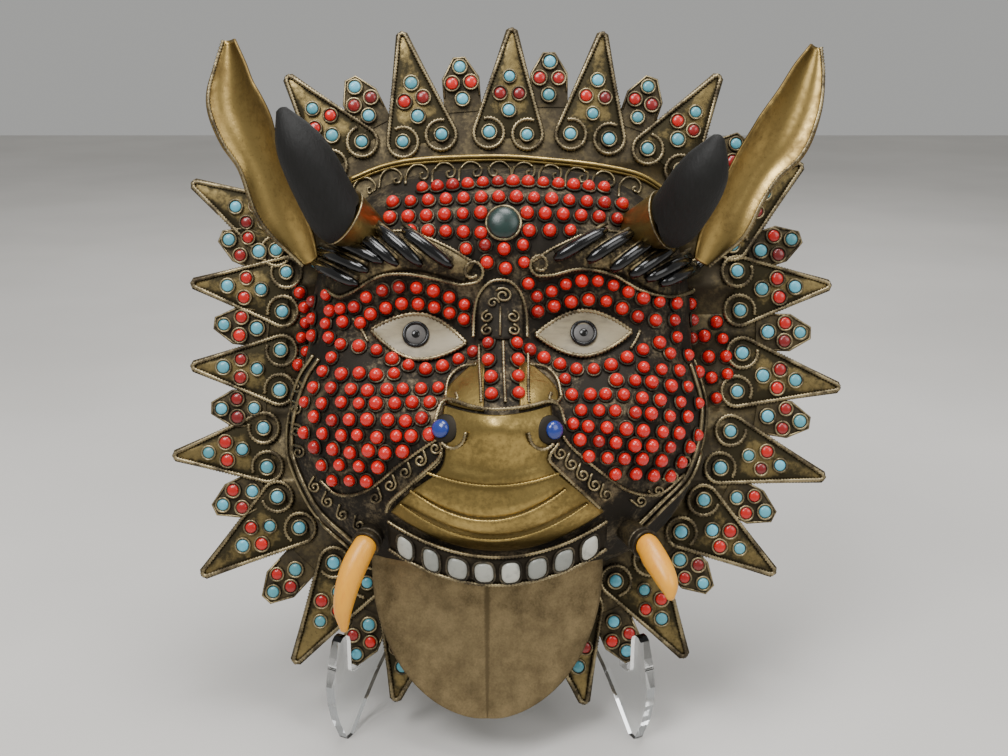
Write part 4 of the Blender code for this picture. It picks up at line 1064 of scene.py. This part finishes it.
class MASK_OT_ray_stones(bpy.types.Operator):
    """Sets turquoise and coral in round bezels on the rays"""

    bl_idname = "mask.ray_stones"
    bl_label = "Ray stones"

    def execute(self, context):
        settings = context.scene.cham_mask
        finish = finishes(settings)
        found = ray_stones()
        every = found["turquoise"] + found["coral"]
        bm = bmesh.new()
        for at, normal, _, size in every:
            bmesh.ops.create_cone(
                bm, cap_ends=True, segments=16, radius1=4.3 * size, radius2=3.7 * size, depth=1.6,
                matrix=turned_to(normal, at + normal * 1.2),
            )
        put("stone_cups", finished(bm), finish["ring"], sharp=35)
        bezels = rings(lifted(every, 2.1), settings.stone_radius + 0.75, 0.5, 6, 18)
        put("stone_bezels", bezels, finish["wire"])
        for kind in ("turquoise", "coral"):
            put(f"ray_{kind}", domes(lifted(found[kind], 2.0), settings.stone_radius, 0.36, 14, 8), finish[kind])
        return {"FINISHED"}


class MASK_OT_face(bpy.types.Operator):
    """Raises the hollow face and runs the two rim wires round it"""

    bl_idname = "mask.face"
    bl_label = "Face"

    def execute(self, context):
        finish = finishes(context.scene.cham_mask)
        bm = bmesh.new()
        bmesh.ops.create_uvsphere(bm, u_segments=96, v_segments=80, radius=1)
        bmesh.ops.delete(bm, geom=[v for v in bm.verts if v.co.z < -0.001], context="VERTS")
        for vert in bm.verts:
            angle = math.atan2(vert.co.y, vert.co.x)
            share = math.sin(math.acos(min(1.0, vert.co.z)))
            powers = (abs(math.cos(angle)) / FACE_HALF[0]) ** 3 + (abs(math.sin(angle)) / FACE_HALF[1]) ** 3
            reach = share / powers ** (1 / 3)
            z = FACE_CENTRE[1] + math.sin(angle) * reach
            middle, width = face_row(z)
            vert.co = on_face(middle + math.cos(angle) * reach * width, z)
        bmesh.ops.recalc_face_normals(bm, faces=bm.faces)
        bm.normal_update()
        if sum(face.normal.y for face in bm.faces) > 0:
            bmesh.ops.reverse_faces(bm, faces=bm.faces)
        put("face_sheet", finished(bm), finish["ground"], ("face_shell",), wall=2.0)
        left = ((315, 356), (301, 378), (290, 412), (287, 440), (291, 466), (313, 511), (344, 541), (358, 552))
        right = ((694, 360), (705, 398), (705, 426), (699, 454), (687, 481), (662, 507), (638, 531), (626, 540))
        rims = []
        for line in (left, right):
            middle = 416 if line is left else 592
            outer = on_mask(smooth_line(line), 0.9)
            inner = on_mask([(x + (middle - x) * 0.055, y + (425 - y) * 0.05) for x, y in smooth_line(line)], 0.9)
            rims += [outer, inner]
        put("rim_wires", plain_wires(rims, 1.05), finish["wire"])
        return {"FINISHED"}


class MASK_OT_beads(bpy.types.Operator):
    """Sets the coral beads of the face, each in a ring of wire"""

    bl_idname = "mask.beads"
    bl_label = "Coral beads"

    def execute(self, context):
        settings = context.scene.cham_mask
        finish = finishes(settings)
        places = bead_places()
        if len(places) < FEWEST_BEADS:
            raise RuntimeError("the face has lost its beads")
        put("coral_beads", domes(lifted(places, 1.5), settings.bead_radius), finish["coral"])
        seats = rings(lifted(places, 0.7), settings.bead_radius + 0.45, 0.55, 6, 14)
        put("bead_rings", seats, finish["ring"])
        return {"FINISHED"}


class MASK_OT_scrolls(bpy.types.Operator):
    """Curls the filigree scrolls of the crown, the cheeks and the temples"""

    bl_idname = "mask.scrolls"
    bl_label = "Filigree scrolls"

    def execute(self, context):
        settings = context.scene.cham_mask
        finish = finishes(settings)
        paths = crown_scrolls(0.9)
        for line, count, radius, hand in (
            (((436, 448), (404, 473), (376, 497)), 5, 6.4, 1), (((560, 453), (580, 472), (606, 494)), 5, 6.8, -1),
            (((300, 366), (297, 410), (300, 452)), 5, 6.2, 1), (((316, 486), (336, 508), (360, 524)), 4, 6.0, -1),
            (((640, 500), (662, 486), (684, 460)), 4, 6.0, -1),
        ):
            paths += scroll_row(line, count, radius, hand, 0.7)
        put("filigree_scrolls", plain_wires(paths, 0.62, 6), finish["wire"])
        borders = (
            ((443, 436), (433, 442), (402, 463), (367, 490), (340, 494), (322, 480)),
            ((443, 447), (438.6, 463), (399, 495), (389, 508)),
            ((562, 436), (572, 448), (596, 468), (628, 490), (658, 493), (682, 474)),
            ((547, 448), (553, 466), (597, 505)),
            ((353, 318), (362, 330), (368, 342)), ((640, 330), (636, 340), (630, 350)),
        )
        lines = [on_mask(smooth_line(border), 0.9) for border in borders]
        put("scroll_borders", beaded_wires(lines, 0.95, settings.wire_pitch), finish["wire"])
        return {"FINISHED"}


class MASK_OT_muzzle(bpy.types.Operator):
    """Folds the muzzle in steps, lays its ropes and sets the two blue stones"""

    bl_idname = "mask.muzzle"
    bl_label = "Muzzle"

    def execute(self, context):
        settings = context.scene.cham_mask
        finish = finishes(settings)

        # Painted shade: the sheet darkens round its edges and in a band just below each fold crease
        def tone_and_painted_shade(u, v):
            edge = max(abs(u) ** 8, abs(v) ** 8) * 0.5
            px, py = pixel(muzzle_point(u, v, 0))
            for crease in MUZZLE_FOLDS:
                off = py - fold_row(crease, px) - 2.5
                edge = max(edge, 0.75 * math.exp(-((off / 2.6) ** 2)))
            return edge

        mesh = sheet((60, 90), lambda u, v: muzzle_point(u, v, 0), tone_and_painted_shade)
        put("muzzle_sheet", mesh, finish["bright"], ("muzzle",), wall=2.2)
        ropes = [muzzle_rope(crease) for crease in MUZZLE_FOLDS]
        put("muzzle_ropes", beaded_wires(ropes, 0.85, settings.wire_pitch), finish["bright"])
        edges = (
            (
                (437, 425), (444, 407), (453, 402), (474, 409), (499, 413), (526, 409), (546, 404), (556, 409),
                (562, 425),
            ),
            ((444, 451), (437, 462), (396, 496), (389, 509)),
            ((597, 505), (553, 466), (547, 455), (556, 442)),
        )
        lines = [on_mask(smooth_line(edge), 3.0) for edge in edges]
        put("muzzle_edge_wires", beaded_wires(lines, 1.05, settings.wire_pitch), finish["wire"])
        stones, hooks, hollows = [], [], []
        for px, py, hand in ((444, 429.5, 1), (550.5, 430, -1)):
            at, normal = seen(px, py, 3.6)
            stones.append((at, normal, 0.9, 1.0))
            shape = ((0, 12), (6, 16.5), (14, 17), (22, 11.5), (26, 2))
            hooks.append(on_mask(smooth_line([(px + hand * u, py + v) for u, v in shape]), 3.4))
            hollows.append((at - normal * 0.9 + Vector((hand * 1.6, 0, 0)), normal, 0.6, 1.0))
        put("nostril_hollows", domes(hollows, 6.6, 0.22, 24, 8), finish["ring"])
        mesh = domes(stones, 4.2, 0.6, 20, 12)
        put("nostril_stones", mesh, finish["lapis"], ("nostril_stone_left", "nostril_stone_right"))
        put("nostril_wires", beaded_wires(hooks, 0.95, settings.wire_pitch), finish["wire"])
        return {"FINISHED"}


class MASK_OT_nose(bpy.types.Operator):
    """Shapes the nose wings and the arched panel between the eyes, and sets the forehead stone"""

    bl_idname = "mask.nose"
    bl_label = "Nose and forehead"

    def execute(self, context):
        settings = context.scene.cham_mask
        finish = finishes(settings)
        wings = []
        for side in (-1, 1):

            def place(u, v):
                down = (1 - v) / 2
                width = 17.5 * (0.25 + 0.75 * math.sin(math.pi / 2 * min(1.0, down * 1.15)))
                x = FACE_AXIS + side * (8 + width * (u + 1) / 2)
                off = min(1.0, abs(x + 4) / 24)
                foot = MUZZLE_TOP - MUZZLE_TOP_ARCH * (1 - off * off) + 1.4
                return on_face(x, 7.5 + (foot - 7.5) * down, 1.8)

            # tone: painted shade round the edges of each wing
            wings.append(sheet((16, 16), place, lambda u, v: max(abs(u), abs(v)) ** 5 * 0.6))
        put("nose_wings", joined(*wings), finish["bright"], ("nose_wing_left", "nose_wing_right"), 1.6)

        def panel(u, v):
            top = 12.6 * (math.sqrt(max(0.0, 1 - u * u)) * 0.35 + 0.65)
            z = 30.5 + (-12.6 + (top + 12.6) * (v + 1) / 2)
            return on_face(-2.6 + u * 10.6, z, 1.8)

        put("bridge_sheet", sheet((16, 16), panel), finish["ground"], ("bridge_panel",), 1.6)
        arch = (
            (476.8, 339), (476.5, 312), (480, 294), (490, 282), (500, 279.5), (511, 282), (520, 294), (523.7, 312),
            (523.7, 339),
        )
        lines = [on_mask(smooth_line(arch), 2.6)]
        lines += [on_mask(smooth_line(line), 1.4) for line in (
            ((447, 398), (450, 380), (462, 369), (478, 366)), ((447, 398), (452, 403), (459, 400), (457, 394)),
            ((560, 398), (556, 380), (545, 369), (529, 366)), ((560, 398), (555, 403), (548, 400), (550, 394)),
            ((503, 342), (503.5, 370), (505, 404)), ((481, 345), (481, 372), (482, 404)),
            ((526, 345), (527, 372), (528, 404)),
        )]
        put("nose_wires", beaded_wires(lines, 0.95, settings.wire_pitch), finish["wire"])
        curls = [
            spiral((503, 296), 8.5, 0.6, 1.5, 1), spiral((494, 304), 5.5, 0.0, 1.2, -1),
            spiral((490, 318), 6.5, 0.75, 1.3, -1), spiral((511, 318), 6.5, 0.75, 1.3, 1),
            spiral((490, 332), 5.8, 0.75, 1.3, -1), spiral((511, 332), 5.8, 0.75, 1.3, 1),
            [(500.5, 308), (500.5, 338)],
        ]
        put("bridge_scrolls", plain_wires([on_mask(c, 2.5) for c in curls], 0.6), finish["wire"])
        at, normal = seen(503.6, 223.6, 1.6)
        put("forehead_stone_cut", domes([(at, normal, 0.7, 1.0)], 7.5, 0.42, 32, 16), finish["green"],
            ("forehead_stone",))
        put("forehead_bezel", rings([(at - normal * 0.4, normal, 0, 1.0)], 7.9, 0.75, 8, 48), finish["wire"])
        return {"FINISHED"}


class MASK_OT_eyes(bpy.types.Operator):
    """Cuts the bone eyes with their pupils and beaded lids"""

    bl_idname = "mask.eyes"
    bl_label = "Eyes"

    def execute(self, context):
        settings = context.scene.cham_mask
        finish = finishes(settings)
        rims, places = [], []
        for side in ("left", "right"):
            # tone: painted shade along the upper and lower edges, under the lid wires
            mesh = sheet((40, 20), lambda u, v: eye_point(side, u, v, 0), lambda u, v: abs(v) ** 6 * 0.5)
            put(f"eye_{side}_bone", mesh, finish["bone"], (f"eye_{side}",), wall=3.0)
            for edge in (-1, 1):
                rims.append([eye_point(side, 2 * k / 48 - 1, edge, -0.3) for k in range(49)])
            px, py = EYES[side][3]
            at, normal = seen(px, py, 4.7)
            places.append((at, normal, 0.5, 1.0))
        put("lid_wires", beaded_wires(rims, 1.25, 1.9), finish["wire"])
        put("pupil_discs", domes(places, 5.2, 0.12, 28, 8), finish["grey"])
        put("pupil_rings", rings(lifted(places, 0.3), 5.5, 0.85, 6, 36), finish["tube"])
        put("pupil_dots", domes(lifted(places, 0.35), 2.1, 0.28, 20, 8), finish["tube"])
        return {"FINISHED"}


class MASK_OT_brows(bpy.types.Operator):
    """Lays the flame brows with their slanting tubes of black glass and edge wires"""

    bl_idname = "mask.brows"
    bl_label = "Brows"

    def execute(self, context):
        settings = context.scene.cham_mask
        finish = finishes(settings)
        tubes, saddles, edges = [], [], []
        for name, side in (("left", -1), ("right", 1)):

            def place(u, v):
                return brow_point(side, u, v, 1.6 + 2.4 * (1 - v * v) * (1 - u**4))

            put(f"brow_{name}_sheet", sheet((40, 12), place), finish["brow"], (f"brow_{name}",), 2.4)
            for start, end in BROW_TUBES[name]:
                tubes.append((straight_run(start, end, 4.6), [1.6, 2.7, 3.0, 3.1, 3.1, 3.0, 2.8, 2.3, 1.2]))
                saddles.append(straight_run((start[0], start[1] - 6), (end[0], end[1] - 6), 4.4))
            edges.append([brow_point(side, 2 * k / 40 - 1, 1, 1.8) for k in range(41)])
        put("brow_tubes", bar_mesh(tubes, 10), finish["tube"])
        put("brow_saddles", plain_wires(saddles, 1.1), finish["brow"])
        lower = [
            spiral((472.8, 270.5), 12, 0.25, 1.15, -1, 0.45)[::-1]
            + smooth_line(((460, 284), (433, 277), (407, 273), (380, 276), (351, 294), (340, 297), (327, 288))),
            spiral((539.8, 263.8), 11, 0.25, 1.15, 1, 0.45)[::-1]
            + smooth_line(((552, 274), (580, 268), (612, 274), (640, 290), (668, 297), (694, 290))),
        ]
        lines = edges + [on_mask(line, 2.4) for line in lower]
        put("brow_wires", beaded_wires(lines, 1.0, settings.wire_pitch), finish["wire"])
        return {"FINISHED"}


class MASK_OT_horns(bpy.types.Operator):
    """Turns the horns and their collars, and cuts the leaf ears with their beaded edge"""

    bl_idname = "mask.horns"
    bl_label = "Horns and ears"

    def execute(self, context):
        settings = context.scene.cham_mask
        finish = finishes(settings)
        horns, collars, lips, edges, ears = [], [], [], [], []
        for side, path in HORN_PATHS.items():
            points = [station_point(station) for station in path]
            seat = (points[1] - points[0]).normalized()
            collars.append(([points[0], points[1] - seat * 0.6, points[1]], [8.5, 13.7, 14.0]))
            lips.append((points[1] - seat * 0.7, seat, 0, 1.0))
            start = points[1] + seat * 0.3
            line = [start, start + seat * 4.5, *points[3:]]
            horns.append(tapered(line, (12.8, 13.2, 12.4, 9.4, 2.6), 32, 0.8, 0.8))
            outward = -1 if side == "left" else 1
            # tone: painted shade along both side edges of the leaf
            ears.append(sheet((16, 60), lambda u, v: ear_point(side, u, v), lambda u, v: abs(u) ** 6 * 0.5))
            edges.append([ear_point(side, outward * 0.93, 2 * k / 60 - 1, 0.5) for k in range(61)])
        put("horns_turned", bar_mesh(horns, 32), finish["horn"], ("horn_left", "horn_right"), sharp=50)
        put("horn_collars", bar_mesh(collars, 32), finish["ear"],
            ("horn_collar_left", "horn_collar_right"), sharp=35)
        put("collar_lips", rings(lips, 13.6, 0.6, 6, 48), finish["wire"])
        put("ear_leaves", joined(*ears), finish["ear"], ("ear_left", "ear_right"), 1.2)
        put("ear_wires", beaded_wires(edges, 1.15, settings.wire_pitch), finish["wire"])
        return {"FINISHED"}


class MASK_OT_mouth(bpy.types.Operator):
    """Sets the teeth in the lip band, with the tusks and the hanging tongue"""

    bl_idname = "mask.mouth"
    bl_label = "Mouth"

    def execute(self, context):
        settings = context.scene.cham_mask
        finish = finishes(settings)
        band = sheet((60, 4), lambda u, v: band_point(u * BAND_REACH, v), lambda u, v: 0.2)
        put("lip_band_bar", band, finish["band"], ("lip_band",), 3.6)
        edges = [
            [band_point(2 * BAND_REACH * k / 60 - BAND_REACH, v) - Vector((0, 0.7, 0)) for k in range(61)]
            for v in (-0.95, 1.15)
        ]
        chance = random.Random(3)
        bm = bmesh.new()
        layer = bm.verts.layers.float.new("tone")
        bezels = []
        for index in range(TEETH):
            x = (index - (TEETH - 1) / 2) * TOOTH_PITCH
            middle = band_point(x, 0)
            sideways = (band_point(x + 3, 0) - band_point(x - 3, 0)).normalized()
            upward = (band_point(x, 1) - band_point(x, -1)).normalized()
            outward = upward.cross(sideways).normalized()
            outward = -outward if outward.y > 0 else outward
            lean = chance.uniform(-0.12, 0.12)
            sideways, upward = sideways + upward * lean, upward - sideways * lean
            made = bmesh.ops.create_uvsphere(bm, u_segments=20, v_segments=14, radius=1)
            tone = chance.uniform(0.15, 1.0)
            half_width, half_rise, half_depth = TOOTH_HALF
            size = (half_width * chance.uniform(0.88, 1.05), half_rise * chance.uniform(0.9, 1.04), half_depth)
            for vert in made["verts"]:
                across, rise, out = [math.copysign(abs(c) ** TOOTH_SQUARENESS, c) for c in vert.co]
                vert.co = middle + sideways * across * size[0] + upward * rise * size[1] + outward * out * size[2]
                vert[layer] = tone
            bezels.append([
                middle + outward * 0.8
                + sideways * math.copysign(abs(math.cos(t)) ** 0.7, math.cos(t)) * (size[0] + 0.5)
                + upward * math.copysign(abs(math.sin(t)) ** 0.7, math.sin(t)) * (size[1] + 0.4)
                for t in circle(28)
            ])
        put("teeth_set", finished(bm), finish["tooth"], [f"tooth_{k + 1}" for k in range(TEETH)])
        put("tooth_bezels", plain_wires(bezels, 0.6, 6, closed=True), finish["ring"])
        put("lip_wires", beaded_wires(edges, 1.0, settings.wire_pitch), finish["wire"])
        tusks, sockets, caps = [], [], []
        for side, path in TUSK_PATHS.items():
            points = [station_point(station) for station in path]
            ends = [station_point(station) for station in SOCKET_PATHS[side]]
            way = (ends[1] - ends[0]).normalized()
            sockets.append(([ends[0], ends[0].lerp(ends[1], 0.6), ends[1]], [5.4, 6.0, 6.6]))
            caps.append((ends[1] - way * 0.8, way, 0, 1.0))
            caps.append((ends[1] - way * 4.5, way, 0, 0.94))
            line = [ends[1] + way * 0.3, ends[1] + way * 2.3, *points[1:]]
            tusks.append(tapered(line, (5.4, 5.5, 5.9, 5.4, 4.2, 1.7), 30, 0.7, 0.6))
        put("tusks_carved", bar_mesh(tusks, 20), finish["tusk"], ("tusk_left", "tusk_right"), sharp=50)
        put("tusk_cups", bar_mesh(sockets, 20), finish["band"],
            ("tusk_socket_left", "tusk_socket_right"), sharp=40)
        put("tusk_rings", rings(caps, 6.3, 0.8, 6, 32), finish["ring"])
        # tone: painted shade in the middle crease and at the sides
        mesh = sheet((60, 60), tongue_point, lambda u, v: 0.9 * max(0.0, 1 - abs(u) * 30) + 0.25 * abs(u) ** 10)
        put("tongue_sheet", mesh, finish["tongue"], ("tongue",), 1.3)
        return {"FINISHED"}


class MASK_OT_easel(bpy.types.Operator):
    """Gives the easel its clear acrylic"""

    bl_idname = "mask.easel"
    bl_label = "Easel"

    def execute(self, context):
        easel = frame["nodes"]["easel"]
        easel.data.materials.clear()
        easel.data.materials.append(acrylic())
        return {"FINISHED"}


class MASK_OT_stage(bpy.types.Operator):
    """Sets the floor, the soft lights and the photograph's camera"""

    bl_idname = "mask.stage"
    bl_label = "Stage"

    def execute(self, context):
        settings = context.scene.cham_mask
        bm = bmesh.new()
        bmesh.ops.create_grid(bm, x_segments=1, y_segments=1, size=FLOOR_HALF)
        mesh = finished(bm)
        shade = tuple(settings.floor)
        mesh.materials.append(new_finish(
            "Pale floor",
            lambda coords, tone: {"Base Color": coords.noise(2.2, 3.0).step(0.3, 0.75).mix(
                tuple(0.86 * part for part in shade), shade)},
            Roughness=0.55,
        ))
        floor = bpy.data.objects.new("floor", mesh)
        bpy.context.scene.collection.objects.link(floor)
        for name, at, size, power in LIGHTS:
            lamp = bpy.data.lights.new(name, "AREA")
            lamp.size = size
            lamp.energy = power
            holder = bpy.data.objects.new(name, lamp)
            holder.location = at
            holder.rotation_euler = (Vector(LIGHTS_AIM) - Vector(at)).to_track_quat("-Z", "Y").to_euler()
            bpy.context.scene.collection.objects.link(holder)
        world = bpy.data.worlds.new("studio")
        world.use_nodes = True
        sky = world.node_tree.nodes["Background"].inputs
        sky["Color"].default_value = SKY
        sky["Strength"].default_value = SKY_STRENGTH
        context.scene.world = world
        lens = bpy.data.cameras.new("camera")
        lens.sensor_width = WIDE_SENSOR
        lens.lens = FOCAL_PIXELS * WIDE_SENSOR / (2 * PICTURE_MIDDLE[0])
        lens.clip_start = 0.01
        camera = bpy.data.objects.new("camera", lens)
        sideways = (MASK.to_3x3() @ Vector((1, 0, 0))).normalized()
        upwards = (MASK.to_3x3() @ Vector((0, 0, 1))).normalized()
        turn = Matrix((sideways, upwards, sideways.cross(upwards))).transposed()
        camera.matrix_world = Matrix.Translation(MASK @ EYE_POINT) @ turn.to_4x4()
        context.scene.collection.objects.link(camera)
        context.scene.camera = camera
        return {"FINISHED"}


STEPS = (
    MASK_OT_rays, MASK_OT_ray_wires, MASK_OT_ray_stones, MASK_OT_face, MASK_OT_beads, MASK_OT_scrolls,
    MASK_OT_muzzle, MASK_OT_nose, MASK_OT_eyes, MASK_OT_brows, MASK_OT_horns, MASK_OT_mouth, MASK_OT_easel,
    MASK_OT_stage,
)


class MASK_PT_sidebar(bpy.types.Panel):
    """Lists the mask's pieces and its sizes and colours"""

    bl_idname = "MASK_PT_sidebar"
    bl_label = "Cham Mask"
    bl_space_type = "VIEW_3D"
    bl_region_type = "UI"
    bl_category = "Cham Mask"

    def draw(self, context):
        settings = context.scene.cham_mask
        for name in ChamMaskSettings.__annotations__:
            self.layout.prop(settings, name)
        for step in STEPS:
            self.layout.operator(step.bl_idname)


CLASSES = (ChamMaskSettings, *STEPS, MASK_PT_sidebar)


def register():
    for made in CLASSES:
        bpy.utils.register_class(made)
    bpy.types.Scene.cham_mask = PointerProperty(type=ChamMaskSettings)


def unregister():
    del bpy.types.Scene.cham_mask
    for made in reversed(CLASSES):
        bpy.utils.unregister_class(made)


def main():
    register()
    for step in STEPS:
        group, name = step.bl_idname.split(".")
        getattr(getattr(bpy.ops, group), name)()


if __name__ == "__main__":
    main()
